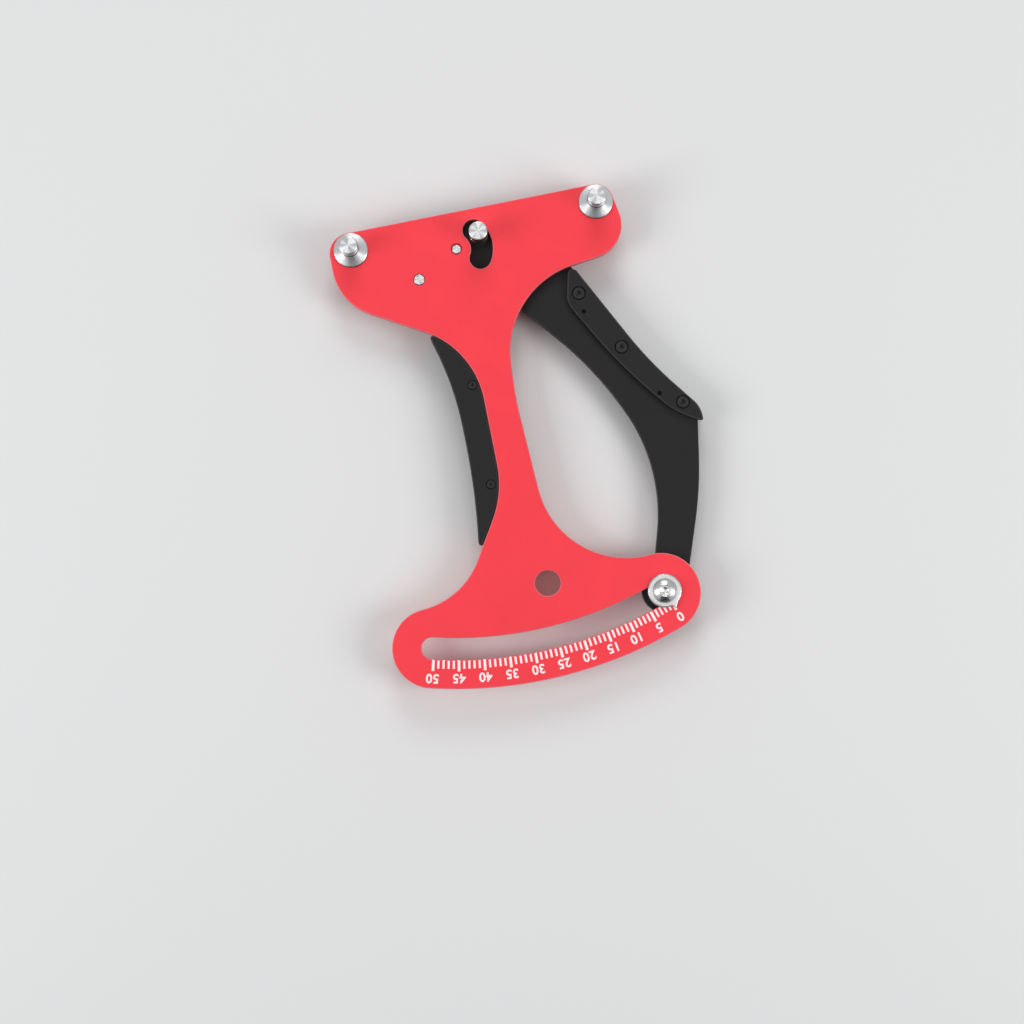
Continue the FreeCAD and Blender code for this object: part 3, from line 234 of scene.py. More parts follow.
def grained(name, colour, edge_sheen_and_wear_colour, roughness, size, depth, spread=0.04, shade=0.06, nicks=0.3,
            painted_reflection_share=1.0, **looks):
    """A material with a grain of one size and depth in metres, a roughness that varies by the spread, and a
    colour that varies by the shade and turns to the edge sheen and wear colour on chamfers: a painted
    highlight together with worn bare metal. Seen in a polished piece it shows only the painted reflection
    share of its colour, a painted darker reflection."""
    material, tree, shader = new_material(name, **looks)
    grain = add_node(tree, "ShaderNodeGroup", node_tree=grain_group)
    grain.inputs["Size"].default_value = size
    edge_sheen_and_wear_node = add_node(tree, "ShaderNodeGroup", node_tree=edge_sheen_and_wear_group)
    edge_sheen_and_wear_node.inputs["Nicks"].default_value = nicks
    patches = grain.outputs["Patches"]
    feeds = {"Value": patches, "From Min": noise_low, "From Max": noise_high,
             "To Min": roughness - spread, "To Max": roughness + spread}
    rough = add_node(tree, "ShaderNodeMapRange", feeds)
    tree.links.new(rough.outputs["Result"], shader.inputs["Roughness"])
    feeds = {"Height": grain.outputs["Grain"], "Strength": 1.0, "Distance": depth}
    bump = add_node(tree, "ShaderNodeBump", feeds)
    tree.links.new(bump.outputs["Normal"], shader.inputs["Normal"])
    ends = [[channel * (1 + change) for channel in colour] + [1.0] for change in (-shade, shade)]
    body = add_node(tree, "ShaderNodeMix", {"Factor": patches, 6: ends[0], 7: ends[1]}, data_type="RGBA")
    # On chamfers the colour turns lighter: a painted highlight together with worn bare metal.
    mixed = {"Factor": edge_sheen_and_wear_node.outputs["Mask"], 6: body.outputs[2], 7: (*edge_sheen_and_wear_colour, 1.0)}
    final = add_node(tree, "ShaderNodeMix", mixed, data_type="RGBA").outputs[2]
    # Seen in a reflection, the colour is darkened to a share of itself: a painted darker reflection.
    if painted_reflection_share < 1:
        in_mirror = add_node(tree, "ShaderNodeLightPath").outputs["Is Glossy Ray"]
        painted_dark_reflection = {"Factor": in_mirror, 6: final, 7: [channel * painted_reflection_share for channel in colour] + [1.0]}
        final = add_node(tree, "ShaderNodeMix", painted_dark_reflection, data_type="RGBA").outputs[2]
    tree.links.new(final, shader.inputs["Base Color"])
    return material


red_anodised = grained(
    "red_anodised_aluminium", colour=(0.97, 0.046, 0.066), edge_sheen_and_wear_colour=(0.97, 0.26, 0.3), roughness=0.4,
    size=0.00016, depth=0.000012, painted_reflection_share=0.12, Metallic=0.3
)
finish_with(red_anodised, nodes["front_plate"])

# ---- The scale --------------------------------------------------------------------------------------------
# Fifty divisions and their numbers are burnt white into the anodising with a laser, along the slot's outer
# edge. Zero is under the pointer at rest, and the numbers read with their tops outwards.
pivot = np.array([-0.0104, 0.1487])
plate_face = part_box("front_plate")[1].z
lift = 0.00001
divisions, numbered_every = 50, 5
zero_angle, full_angle = np.radians(20.0), np.radians(34.4)
crowding, crowding_fade = 0.095, 0.75
slot_edge, slot_chamfer, minor_end, major_end = 0.1767, 0.00035, 0.1805, 0.1816
minor_width, major_width, flattening = 0.00092, 0.00115, 0.0003

# The divisions are a little closer near zero than at the far end, and the arc on which the marks end is a
# little flatter than the slot's.
number = np.arange(divisions + 1)
part_way = number / divisions
crowded = crowding * part_way * (1 - part_way) * (1 - crowding_fade * part_way)
bearing = zero_angle - full_angle * (part_way - crowded)
bulge = 4 * part_way * (1 - part_way)
major = number % numbered_every == 0
mark_end = np.where(major, major_end, minor_end) - flattening * bulge
half_width = np.where(major, major_width, minor_width) / 2

# Each mark is a strip that runs up the slot's chamfer and out over the face: three points on its left and
# three on its right.
outward = np.column_stack([np.sin(bearing), -np.cos(bearing)])
sideways = np.column_stack([np.cos(bearing), np.sin(bearing)])
chamfer_ends = np.full((len(number), 2), [slot_edge + lift, slot_edge + slot_chamfer])
radius = np.column_stack([chamfer_ends, mark_end])
heights = plate_face + lift + np.array([lift - slot_chamfer, 0.0, 0.0])
spine = pivot + outward[:, None] * radius[..., None]
sides = [spine + side * sideways[:, None] * half_width[:, None, None] for side in (-1, 1)]
strips = [np.dstack([side, np.broadcast_to(heights, side.shape[:2])]) for side in sides]
quads = np.array([[0, 1, 4, 3], [1, 2, 5, 4]]) + 6 * number[:, None, None]
corners = np.concatenate(strips, axis=1)
scale_marks = add_mesh("scale_marks", corners, quads.reshape(-1, 4).tolist(), smooth=False)

# The numbers are text, made a mesh, then turned so that their tops point away from the pivot. A figure stands
# 0.73 of its type's size high.
figure_height, figure_radius, figure_flattening = 0.004, 0.1847, 0.0009
height_share, stroke_gain, figure_spacing = 0.73, 0.00014, 1.06
figures = []
for index in range(0, divisions + 1, numbered_every):
    text = bpy.data.curves.new(f"figure_{index}", "FONT")
    text.body = str(index)
    text.align_x = "CENTER"
    text.align_y = "CENTER"
    text.size = figure_height / height_share
    text.offset = stroke_gain
    text.space_character = figure_spacing
    writing = bpy.data.objects.new(f"figure_{index}", text)
    mesh = bpy.data.meshes.new_from_object(writing)
    bpy.data.objects.remove(writing)
    angle = bearing[index]
    distance = figure_radius - figure_flattening * bulge[index]
    centre = pivot + distance * outward[index]
    turned = np.array([[-np.cos(angle), np.sin(angle), 0], [-np.sin(angle), -np.cos(angle), 0], [0, 0, 1]])
    mesh.transform(Matrix.Translation((*centre, plate_face + lift)) @ Matrix(turned).to_4x4())
    figure = bpy.data.objects.new(f"figure_{index}", mesh)
    bpy.context.scene.collection.objects.link(figure)
    figures.append(figure)

laser_white, tree, shader = new_material("laser_mark", Roughness=0.7)
grain = add_node(tree, "ShaderNodeGroup", node_tree=grain_group)
grain.inputs["Size"].default_value = 0.0003
tint = {"Factor": grain.outputs["Grain"], 6: (0.98, 0.72, 0.74, 1.0), 7: (1.0, 0.93, 0.93, 1.0)}
mixed = add_node(tree, "ShaderNodeMix", tint, data_type="RGBA")
tree.links.new(mixed.outputs[2], shader.inputs["Base Color"])
for piece in [scale_marks] + figures:
    finish_with(laser_white, piece)
    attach(piece, "plate")

# ---- The fixed posts and the moving post ------------------------------------------------------------------
# Three posts of 8 mm bar, turned bright on a lathe, with a shallow groove for the spoke. The two on the plate
# have a broad foot. The third stands on the lever and passes through the kidney slot.


def soften(stops, blend=0.00012, steps=5, most=0.3, lead=1.5):
    """Rounds each inner corner of a profile of (radius, height) rows, with a third column that is carried
    along. The corner becomes a parabola between two points set back from it by the blend, or by the share
    "most" of a shorter run. A further point before and after it, "lead" times as far back, keeps the flats
    flat."""
    stops = np.array([[*stop, 0.0][:3] for stop in stops])
    spots, carried = stops[:, :2], np.repeat(stops[1:-1, 2:], steps + 2, axis=0)
    corner = spots[1:-1]

    def set_back(ends):
        """How far the parabola's end lies from the corner, towards the given neighbours."""
        run = ends - corner
        length = np.linalg.norm(run, axis=1, keepdims=True)
        return run / length * np.minimum(blend, length * most)

    back, ahead = set_back(spots[:-2]), set_back(spots[2:])
    along = np.linspace(0, 1, steps)[None, :, None]
    curve = (1 - along) ** 2 * (corner + back)[:, None] + along**2 * (corner + ahead)[:, None]
    curve = curve + 2 * along * (1 - along) * corner[:, None]
    rows = [(corner + lead * back)[:, None], curve, (corner + lead * ahead)[:, None]]
    middle = np.column_stack([np.concatenate(rows, axis=1).reshape(-1, 2), carried])
    return np.concatenate([stops[:1], middle, stops[-1:]])


def hexagon(angle):
    """The radius of a regular hexagon at an angle, as a share of its corners'."""
    return np.cos(np.pi / 6) / np.cos(angle % (np.pi / 3) - np.pi / 6)


# On the lathe map, along which the turning marks run, v grows by this much with each metre of the profile.
map_per_metre = 10


def spin(name, centre, profile, outline=hexagon, segments=96, facing=0.0):
    """A surface of revolution about an upright axis: each row of the profile, (radius, height, share) in
    metres, is carried round the axis, from the top of the piece outwards and down to its foot. Where the
    share is 1 the radius is multiplied by the outline at each angle from the facing, and where it is 0 the
    row stays round. A profile that starts on the axis is closed by a fan at both ends, and any other is a
    ring. In the lathe map u runs once round and v along the profile."""
    radius, height, share = np.asarray(profile, float).T
    angle = np.arange(segments) * (2 * np.pi / segments)
    spread = radius[:, None] * (1 + share[:, None] * (outline(angle) - 1))
    level = np.repeat(height[:, None], segments, 1)
    ring = np.stack([spread * np.cos(angle + facing), spread * np.sin(angle + facing), level], 2)
    steps = np.hypot(np.diff(radius), np.diff(height))
    travelled = np.concatenate([[0], np.cumsum(steps)]) * map_per_metre
    solid = radius[0] < 1e-9
    inner = slice(1, -1) if solid else slice(None)
    rows, v = len(ring[inner]), travelled[inner]
    row, column = np.meshgrid(np.arange(rows - 1 if solid else rows), np.arange(segments), indexing="ij")
    row, column = row.ravel(), column.ravel()
    here, below, beside = row * segments, (row + 1) % rows * segments, (column + 1) % segments
    faces = np.column_stack([here + column, below + column, below + beside, here + beside]).tolist()

    # A ring's last row meets its first again, a little further along the map.
    onward_v = np.append(v[1:], v[-1] + 0.01)
    u0, u1, v0, v1 = column / segments, (column + 1) / segments, v[row], onward_v[row]
    corners = [np.stack([u0, v0, u0, v1, u1, v1, u1, v0], 1).reshape(-1, 2)]
    points = ring[inner].reshape(-1, 3)
    if solid:
        around = np.arange(segments)
        onward = (around + 1) % segments
        last = (rows - 1) * segments
        top_point, foot_point = np.full(segments, len(points)), np.full(segments, len(points) + 1)
        faces += np.column_stack([top_point, around, onward]).tolist()
        faces += np.column_stack([foot_point, last + onward, last + around]).tolist()
        u0, u1, every = around / segments, (around + 1) / segments, np.ones(segments)
        top, foot = [(u0 + u1) / 2, every * travelled[0]], [(u0 + u1) / 2, every * travelled[-1]]
        corners.append(np.stack(top + [u0, every * v[0], u1, every * v[0]], 1).reshape(-1, 2))
        corners.append(np.stack(foot + [u1, every * v[-1], u0, every * v[-1]], 1).reshape(-1, 2))
        points = np.concatenate([points, ring[0, :1], ring[-1, :1]])
    thing = add_mesh(name, points + np.array([*centre, 0.0]), faces)
    lathe_map = thing.data.uv_layers.new(name="lathe").data
    lathe_map.foreach_set("uv", np.concatenate(corners).ravel().astype(np.float32))
    return thing


def middle_of(node):
    """Where a node's upright axis stands."""
    low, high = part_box(node)
    return (low.x + high.x) / 2, (low.y + high.y) / 2


def take_place(piece, node, material, body):
    """Dresses a piece that stands in for a node of the part."""
    finish_with(material, piece)
    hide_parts(node)
    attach(piece, body)


# Turning marks: fine grooves round the axis, from a one-way noise along the lathe map's v, and bands of
# finish twelve times as wide.
band_width = 12.0
turning_group, given, result = effect_group("turning_marks", {"Pitch": 0.0001}, ("Groove", "Band"))
unrolled = add_node(turning_group, "ShaderNodeUVMap", uv_map="lathe").outputs["UV"]
along = add_node(turning_group, "ShaderNodeSeparateXYZ", {0: unrolled}).outputs["Y"]
feeds = {0: along, 1: 1 / map_per_metre}
metres = add_node(turning_group, "ShaderNodeMath", feeds, operation="MULTIPLY").outputs[0]
feeds = {0: metres, 1: given["Pitch"]}
grooves = add_node(turning_group, "ShaderNodeMath", feeds, operation="DIVIDE").outputs[0]
bands = add_node(turning_group, "ShaderNodeMath", {0: grooves, 1: band_width}, operation="DIVIDE").outputs[0]
for pace, output in ((grooves, "Groove"), (bands, "Band")):
    noise = add_node(turning_group, "ShaderNodeTexNoise", {"W": pace, "Detail": 1.0}, noise_dimensions="1D")
    turning_group.links.new(noise.outputs[0], result[output])


def turned_metal(name, colour, roughness, depth, anisotropic, metallic=1.0, pitch=0.0001, wall=0.4,
                 dull=0.84, spread=0.2):
    """A lathe-turned metal: grooves of one depth and pitch round the axis, and highlights that are drawn out
    across them, because the tangent is turned a quarter from the map's u. From band to band the colour falls
    to the dull share of itself and the roughness varies by the spread. Upright walls are polished: they have
    the wall's share of the faces' roughness."""
    material, tree, shader = new_material(
        name, Metallic=metallic, Anisotropic=anisotropic, Anisotropic_Rotation=0.25
    )
    marks = add_node(tree, "ShaderNodeGroup", node_tree=turning_group)
    marks.inputs["Pitch"].default_value = pitch
    bump = add_node(tree, "ShaderNodeBump", {"Height": marks.outputs["Groove"], "Distance": depth})
    tree.links.new(bump.outputs["Normal"], shader.inputs["Normal"])
    tangent = add_node(tree, "ShaderNodeTangent", direction_type="UV_MAP", uv_map="lathe")
    tree.links.new(tangent.outputs["Tangent"], shader.inputs["Tangent"])
    band = marks.outputs["Band"]
    ends = [[channel * change for channel in colour] + [1.0] for change in (dull, 1.0)]
    body = add_node(tree, "ShaderNodeMix", {"Factor": band, 6: ends[0], 7: ends[1]}, data_type="RGBA")
    tree.links.new(body.outputs[2], shader.inputs["Base Color"])
    feeds = {"Value": band, "From Min": noise_low, "From Max": noise_high,
             "To Min": roughness * (1 - spread), "To Max": roughness * (1 + spread)}
    rough = add_node(tree, "ShaderNodeMapRange", feeds)
    normal = add_node(tree, "ShaderNodeNewGeometry").outputs["Normal"]
    rise = add_node(tree, "ShaderNodeSeparateXYZ", {0: normal}).outputs["Z"]
    steepness = add_node(tree, "ShaderNodeMath", {0: rise}, operation="ABSOLUTE").outputs[0]
    feeds = {"Value": steepness, "From Min": 0.2, "From Max": 0.7, "To Min": wall}
    polish = add_node(tree, "ShaderNodeMapRange", feeds).outputs["Result"]
    feeds = {0: rough.outputs["Result"], 1: polish}
    polished = add_node(tree, "ShaderNodeMath", feeds, operation="MULTIPLY").outputs[0]
    tree.links.new(polished, shader.inputs["Roughness"])
    return material


def turned_edge(radius, height, chamfer):
    """Rows for an upper edge whose chamfer is turned in two slants, the first the flatter."""
    slanted = (radius - chamfer * 0.22, height - chamfer * 0.4)
    return [(radius - chamfer, height), slanted, (radius, height - chamfer)]


turned_steel = turned_metal(
    "turned_steel", colour=(0.88, 0.88, 0.885), roughness=0.4, depth=0.000002, anisotropic=0.95, wall=0.3
)
post_radius, post_chamfer, foot_radius, foot_height, foot_chamfer = 0.004, 0.0005, 0.00735, 0.0015, 0.0004
bore_radius, bore_depth, groove_depth, groove_width, groove_rise = 0.002, 0.01, 0.0003, 0.0024, 0.009
groove = plate_face + groove_rise
for post, body in (("left_post", "plate"), ("right_post", "plate"), ("moving_post", "lever")):
    low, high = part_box(post)
    stops = [
        (0, high.z),
        *turned_edge(post_radius, high.z, post_chamfer),
        (post_radius, groove + groove_width / 2),
        (post_radius - groove_depth, groove),
        (post_radius, groove - groove_width / 2),
    ]
    if body == "plate":
        foot_top = low.z + foot_height
        foot_edge = turned_edge(foot_radius, foot_top, foot_chamfer)
        stops += [(post_radius, foot_top), *foot_edge, (foot_radius, low.z)]
    else:
        stops += [(post_radius, low.z)]
    stops += [(bore_radius, low.z), (bore_radius, low.z + bore_depth), (0, low.z + bore_depth)]
    piece = spin(f"turned_{post}", middle_of(post), soften(stops))
    take_place(piece, post, turned_steel, body)

# ---- The pivot pin and the two spring studs ---------------------------------------------------------------
# Turned from the same bar. The pin's reduced end and the anchor stud's end show in the plate's front face.
# Each stud has a neck behind for a loop of the spring, and the pin a groove for its clip.
pin_chamfer, stud_chamfer, pin_blend = 0.0002, 0.00025, 0.00006
pin_end, pin_top, journal, pin_foot = 0.00195, 0.0034, 0.003, -0.00715
clip_groove, clip_groove_top, clip_groove_foot = 0.0025, -0.00585, -0.00655
shown_end, shown_top, shown_slant, collar, collar_foot = 0.0025, 0.004, (0.00035, 0.0006), 0.0032, -0.001
spigot, spigot_top, lever_back = 0.0013, -0.00135, -0.005
stud, neck, neck_top, neck_foot, stud_foot = 0.0018, 0.0013, -0.0087, -0.0103, -0.0113

# Each profile of (radius, height) rows runs from the middle of the top to the middle of the foot.
looped_end = [
    (stud, neck_top), (neck, neck_top), (neck, neck_foot), (stud, neck_foot),
    (stud, stud_foot + stud_chamfer), (stud - stud_chamfer, stud_foot), (0, stud_foot),
]
pins = {
    "pivot_pin": ("plate", [
        (0, pin_top), (pin_end - pin_chamfer, pin_top), (pin_end, pin_top - pin_chamfer), (pin_end, 0),
        (journal, 0), (journal, clip_groove_top), (clip_groove, clip_groove_top),
        (clip_groove, clip_groove_foot), (journal, clip_groove_foot), (journal, pin_foot + pin_chamfer),
        (journal - pin_chamfer, pin_foot), (0, pin_foot),
    ]),
    "spring_anchor_stud": ("plate", [
        (0, shown_top), (shown_end - shown_slant[0], shown_top), (shown_end, shown_top - shown_slant[1]),
        (shown_end, 0), (collar, 0), (collar, collar_foot), (stud, collar_foot), *looped_end,
    ]),
    "lever_spring_stud": ("lever", [
        (0, spigot_top), (spigot, spigot_top), (spigot, lever_back), (stud, lever_back), *looped_end,
    ]),
}
for pin, (body, stops) in pins.items():
    piece = spin(f"turned_{pin}", middle_of(pin), soften(stops, blend=pin_blend), segments=64)
    take_place(piece, pin, turned_steel, body)

# ---- The lever --------------------------------------------------------------------------------------------
# A 4 mm aluminium arm behind the plate, milled, blasted and anodised black. Its boss turns on the pivot pin,
# and its far end carries the pointer under the scale slot.
black_anodised = grained(
    "black_anodised_aluminium", colour=(0.0145, 0.0145, 0.015), edge_sheen_and_wear_colour=(0.06, 0.06, 0.063),
    roughness=0.5, size=0.00018, depth=0.000014, shade=0.12, Specular_IOR_Level=0.2
)
finish_with(black_anodised, nodes["lever_arm"])

# ---- The grips --------------------------------------------------------------------------------------------
# Two shells each on the lever and at the plate's waist, moulded in black plastic with a fine spark-eroded
# texture, and screwed together.
black_plastic = grained(
    "textured_black_plastic", colour=(0.0148, 0.0148, 0.0153), edge_sheen_and_wear_colour=(0.07, 0.07, 0.073),
    roughness=0.62, size=0.00035, depth=0.00005, spread=0.06, shade=0.15, nicks=0.5, Specular_IOR_Level=0.22
)
for node in ("plate_grip_front", "plate_grip_rear", "lever_grip_front", "lever_grip_rear"):
    finish_with(black_plastic, nodes[node])

# ---- The black screws -------------------------------------------------------------------------------------
# Socket screws of black-oxide steel: three hold the posts from behind, five clamp the grips from the front,
# with their heads sunk in round recesses.
black_oxide = turned_metal(
    "black_oxide_steel", colour=(0.03, 0.03, 0.031), roughness=0.42, depth=0.000002, anisotropic=0.5,
    metallic=0.6
)


def socket_screw(node, head_radius, head_height, shank_radius, across_flats, length, upside_down=False):
    """A screw whose head ends at the top of the node's box, or at its foot if upside down. Its rows run from
    the socket's floor over the head and down the shank, or the other way."""
    low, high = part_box(node)
    chamfer, corner, depth = head_height * 0.18, across_flats / np.sqrt(3), across_flats * 0.8
    shank_end = head_height + length
    stops = np.array([
        (0, depth, 0),
        (corner, depth, 1),
        (corner, chamfer * 0.5, 1),
        (corner + chamfer * 0.6, 0, 0.35),
        (head_radius - chamfer, 0, 0),
        (head_radius, chamfer, 0),
        (head_radius, head_height, 0),
        (shank_radius, head_height, 0),
        (shank_radius, shank_end - chamfer, 0),
        (shank_radius - chamfer, shank_end, 0),
        (0, shank_end, 0),
    ])
    stops[:, 1] = low.z + stops[:, 1] if upside_down else high.z - stops[:, 1]
    profile = soften(stops[::-1] if upside_down else stops, blend=0.00006)
    return spin(f"black_{node}", middle_of(node), profile)


post_screw = {"head_radius": 0.0035, "head_height": 0.0022, "shank_radius": 0.00198, "across_flats": 0.0025,
              "length": 0.01, "upside_down": True}
plate_grip_screw = {"head_radius": 0.00185, "head_height": 0.00085, "shank_radius": 0.00123,
                    "across_flats": 0.0014, "length": 0.008}
lever_grip_screw = {"head_radius": 0.0026, "head_height": 0.001, "shank_radius": 0.00148,
                    "across_flats": 0.0018, "length": 0.01}
for node, measures, body in (
    ("left_post_screw", post_screw, "plate"),
    ("right_post_screw", post_screw, "plate"),
    ("moving_post_screw", post_screw, "lever"),
    ("plate_grip_screw_upper", plate_grip_screw, "plate"),
    ("plate_grip_screw_lower", plate_grip_screw, "plate"),
    ("lever_grip_screw_upper", lever_grip_screw, "lever"),
    ("lever_grip_screw_middle", lever_grip_screw, "lever"),
    ("lever_grip_screw_lower", lever_grip_screw, "lever"),
):
    take_place(socket_screw(node, **measures), node, black_oxide, body)

# ---- The pointer and its screw ----------------------------------------------------------------------------
# A bright zinc-plated stack in the scale slot: a washer, the pointer with its small lopsided nib over the
# marks, and a button-head screw with a nut behind the lever.
bright_zinc = turned_metal(
    "bright_zinc_steel", colour=(0.93, 0.93, 0.92), roughness=0.27, depth=0.000001, anisotropic=0.4,
    pitch=0.00018, wall=0.8
)
clearance_bore, shank_radius = 0.00302, 0.00298
pointer_radius, pointer_tip, tip_bearing = 0.0069, 0.00867, np.radians(23.1)
right_flank, left_flank, right_power, left_power = np.radians(26.0), np.radians(10.0), 1.8, 1.5


def nib(angle):
    """The pointer's edge as a share of its disc's radius: it rises to the tip from each flank's foot as a
    power of how near the angle is to the tip, more steeply on the left flank."""
    away = (angle + np.pi) % (2 * np.pi) - np.pi
    flank = np.where(away > 0, right_flank, left_flank)
    power = np.where(away > 0, right_power, left_power)
    near = np.clip(1 - np.abs(away) / flank, 0, 1)
    return 1 + (pointer_tip / pointer_radius - 1) * near**power


# The disc is round as far as its flat ring goes, and takes the nib's outline beyond it.
low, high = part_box("scale_pointer")
flat_ring, pointer_rim = 0.0055, 0.0002
stops = soften([
    (clearance_bore, high.z, 0),
    (flat_ring, high.z, 0),
    (pointer_radius - pointer_rim, high.z, 1),
    (pointer_radius, high.z - pointer_rim, 1),
    (pointer_radius, low.z, 1),
    (clearance_bore, low.z, 0),
], blend=0.00008)
facing = tip_bearing - np.pi / 2
piece = spin("nibbed_pointer", middle_of("pointer_screw"), stops, outline=nib, segments=360, facing=facing)
take_place(piece, "scale_pointer", bright_zinc, "lever")

low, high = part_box("pointer_washer")
washer_radius, washer_rim = 0.0072, 0.00015
stops = soften([
    (clearance_bore, high.z), (washer_radius - washer_rim, high.z), (washer_radius, high.z - washer_rim),
    (washer_radius, low.z + washer_rim), (washer_radius - washer_rim, low.z), (clearance_bore, low.z),
], blend=0.00006)
piece = spin("bright_pointer_washer", middle_of("pointer_washer"), stops)
take_place(piece, "pointer_washer", bright_zinc, "lever")

# The button head is part of a ball: its height falls by the difference between the roots of the ball's radius
# squared less the socket rim's squared, and less the radius squared. A cone ends the socket's floor.
low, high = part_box("pointer_screw")
head_radius, head_height, socket_rim, ball = 0.00525, 0.0033, 0.0026, 0.0072
socket_corner, socket_depth, bevel_depth, cone_radius, cone_depth = 0.00231, 0.0018, 0.0009, 0.0015, 0.0006
undercut, point_radius, point_height = 0.0001, 0.0026, 0.0004
seat = high.z - head_height
dome_radius = np.linspace(socket_rim, head_radius, 24)
fall = np.sqrt(ball**2 - socket_rim**2) - np.sqrt(ball**2 - dome_radius**2)
dome = np.column_stack([dome_radius, high.z - fall, dome_radius * 0])
socket = soften([
    (0, high.z - socket_depth - cone_depth, 0), (cone_radius, high.z - socket_depth, 0),
    (socket_corner, high.z - socket_depth, 1), (socket_corner, high.z - bevel_depth, 1),
    tuple(dome[0]), tuple(dome[1]),
], blend=0.00008)
shank = soften([
    tuple(dome[-2]), (head_radius, dome[-1, 1], 0), (head_radius - undercut, seat, 0),
    (shank_radius, seat, 0), (shank_radius, low.z + point_height, 0), (point_radius, low.z, 0),
    (0, low.z, 0),
], blend=0.0001)
profile = np.concatenate([socket[:-1], dome[1:-2], shank])
piece = spin("button_head_screw", middle_of("pointer_screw"), profile)
take_place(piece, "pointer_screw", bright_zinc, "lever")

# The nut's hexagon is bevelled down to a round face, and its bore at both ends.
low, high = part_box("pointer_nut")
nut_corner, nut_bevel, nut_facing = 0.01 / np.sqrt(3), 0.0005, np.radians(20.0)
round_face, bore_mouth = nut_corner * 0.855, clearance_bore + nut_bevel
stops = soften([
    (bore_mouth, high.z, 0), (round_face, high.z, 0), (nut_corner, high.z - nut_bevel, 1),
    (nut_corner, low.z + nut_bevel, 1), (round_face, low.z, 0), (bore_mouth, low.z, 0),
    (clearance_bore, low.z + nut_bevel, 0), (clearance_bore, high.z - nut_bevel, 0),
    (clearance_bore + nut_bevel * 0.9, high.z, 0),
], blend=0.00008)
piece = spin("hexagon_nut", middle_of("pointer_screw"), stops, facing=nut_facing)
take_place(piece, "pointer_nut", bright_zinc, "lever")

# ---- The washers, the sleeve and the clip -----------------------------------------------------------------
# Sintered bronze washers and the sleeve carry the moving faces, a nylon washer slides behind the plate, and a
# sprung clip keeps the lever on its pin.
bronze = grained(
    "sintered_bronze", colour=(0.5, 0.3, 0.13), edge_sheen_and_wear_colour=(0.7, 0.48, 0.26), roughness=0.42, size=0.00012,
    depth=0.00001, Metallic=1.0
)
finish_with(bronze, nodes["pivot_front_washer"], nodes["pivot_rear_washer"], nodes["pointer_sleeve"])
nylon = grained(
    "black_nylon", colour=(0.03, 0.03, 0.031), edge_sheen_and_wear_colour=(0.05, 0.05, 0.052), roughness=0.5, size=0.0003,
    depth=0.00001
)
finish_with(nylon, nodes["slide_washer"])
spring_steel = grained(
    "drawn_spring_steel", colour=(0.55, 0.55, 0.57), edge_sheen_and_wear_colour=(0.72, 0.72, 0.74), roughness=0.3,
    size=0.0001, depth=0.000004, Metallic=1.0
)
finish_with(spring_steel, nodes["pivot_clip"])

# ---- The return spring ------------------------------------------------------------------------------------
# A close coil of 0.7 mm wire behind the lever, with a loop at each end round a stud's neck. It is hooked
# between the plate's stud and the lever's, and pulls the lever back to zero.


def carry_wire(name, path, across, radius, sides=10):
    """A round wire along a path: at each point a ring of one radius lies in the plane across the path. Its
    two axes are the given direction, made square to the path, and their cross product. Both ends are
    closed."""
    ahead = np.gradient(path, axis=0)
    ahead /= np.linalg.norm(ahead, axis=1, keepdims=True)
    first = across - np.sum(across * ahead, axis=1, keepdims=True) * ahead
    first /= np.linalg.norm(first, axis=1, keepdims=True)
    second = np.cross(ahead, first)
    angle = np.arange(sides) * (2 * np.pi / sides)
    arm = np.cos(angle)[:, None] * first[:, None] + np.sin(angle)[:, None] * second[:, None]
    ring = path[:, None] + radius * arm
    row, column = np.meshgrid(np.arange(len(path) - 1), np.arange(sides), indexing="ij")
    row, column = row.ravel() * sides, column.ravel()
    beside = (column + 1) % sides
    faces = np.column_stack([row + column, row + beside, row + sides + beside, row + sides + column]).tolist()
    around = np.arange(sides)
    faces += [around[::-1].tolist(), (around + (len(path) - 1) * sides).tolist()]
    return add_mesh(name, ring.reshape(-1, 3), faces)


def bend(start, leave, arrive, end, steps=14):
    """A smooth run between two points, pulled towards two others between them (a cubic curve), less its
    ends."""
    t = np.linspace(0, 1, steps)[1:-1, None]
    return (1 - t) ** 3 * start + 3 * (1 - t) ** 2 * t * leave + 3 * (1 - t) * t**2 * arrive + t**3 * end


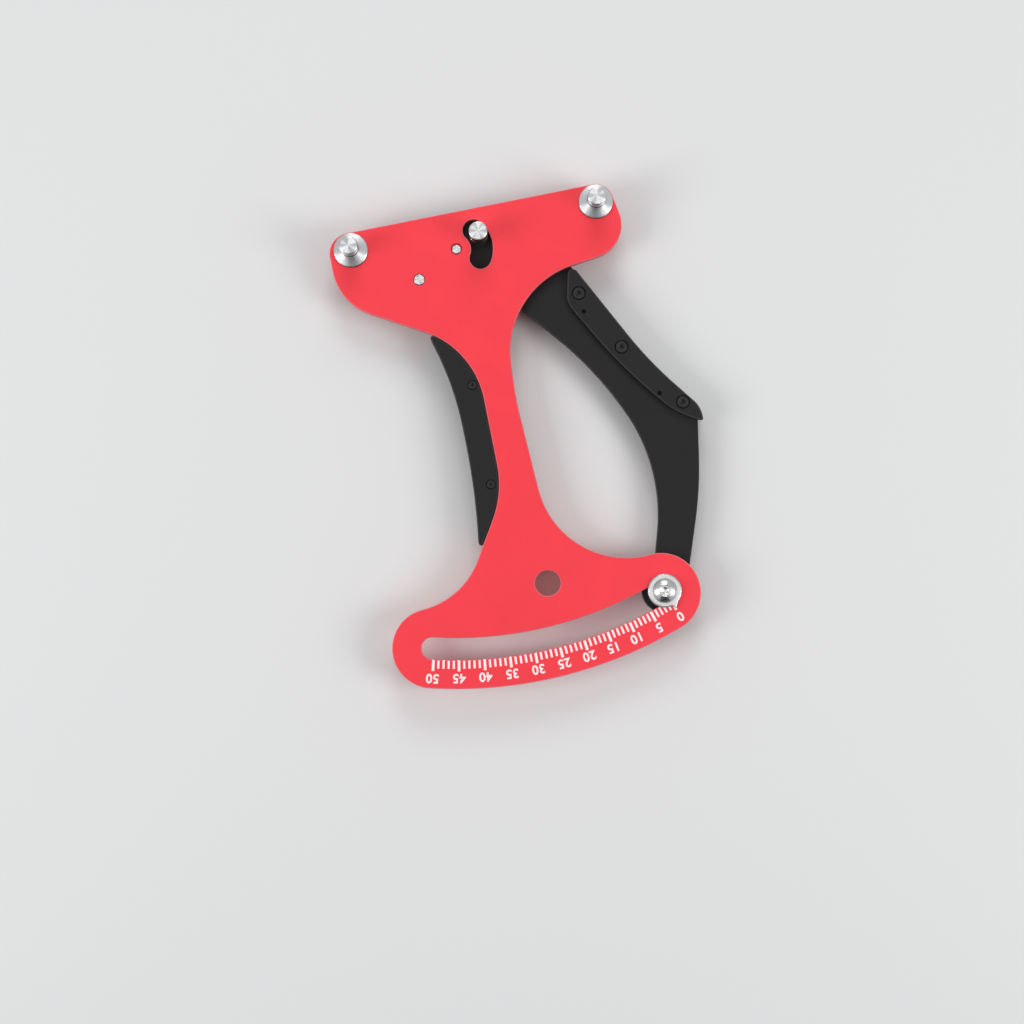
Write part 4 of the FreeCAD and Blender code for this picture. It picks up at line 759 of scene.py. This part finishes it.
# The spring is worked out along +X from the anchor stud, at the origin, to the lever's stud.
wire_radius, coil_radius, loop_radius, slack, coil_gap = 0.00035, 0.0016, 0.00175, 0.0001, 0.0002
coil_turns, per_turn = 25, 18
anchor = np.array([*middle_of("spring_anchor_stud"), 0.0])
other = np.array([*middle_of("lever_spring_stud"), 0.0])
span = np.linalg.norm(other - anchor)
coil_start = loop_radius + coil_radius + coil_gap
wound = np.linspace(0, coil_turns * 2 * np.pi, coil_turns * per_turn + 1)
forward = coil_start + (span - 2 * coil_start) * wound / wound[-1]
coil = np.column_stack([forward, coil_radius * np.sin(wound), -coil_radius * np.cos(wound)])
opening = np.radians(np.linspace(330, 50, 40))
loop = np.column_stack([slack + loop_radius * np.cos(opening), loop_radius * np.sin(opening), opening * 0])

# Leaving the loop the wire heads towards +X and -Y, dips under the coil and joins it heading towards +Y. The
# far end is the same, turned half round.
swing, dip = np.array([0.0009, -0.0011, 0.0]), np.array([0.0, -0.0013, 0.0])
into = bend(loop[-1], loop[-1] + swing, coil[0] + dip, coil[0])
half_turn, far_end = np.array([-1.0, -1.0, 1.0]), np.array([span, 0.0, 0.0])
out_of, far_loop = (into * half_turn + far_end)[::-1], (loop * half_turn + far_end)[::-1]
path = np.concatenate([loop, into, coil, out_of, far_loop])

# The wire's ring turns from an upright first axis in the loops to one along the spring in the coil.
coiled = np.concatenate([
    np.zeros(len(loop)), np.linspace(0, 1, len(into)), np.ones(len(coil)), np.linspace(1, 0, len(into)),
    np.zeros(len(loop)),
])[:, None]
upright, lengthwise = np.array([0.0, 0.0, 1.0]), np.array([1.0, 0.0, 0.0])
first_axis = upright * (1 - coiled) + lengthwise * coiled
heading = (other - anchor) / span
spring_frame = np.array([heading, [-heading[1], heading[0], 0.0], upright])
low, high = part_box("return_spring")
spring_rise = np.array([0.0, 0.0, (low.z + high.z) / 2])
placed = path @ spring_frame + anchor + spring_rise
piece = carry_wire("coiled_return_spring", placed, first_axis @ spring_frame, wire_radius)
finish_with(spring_steel, piece)
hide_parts("return_spring")
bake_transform(piece)
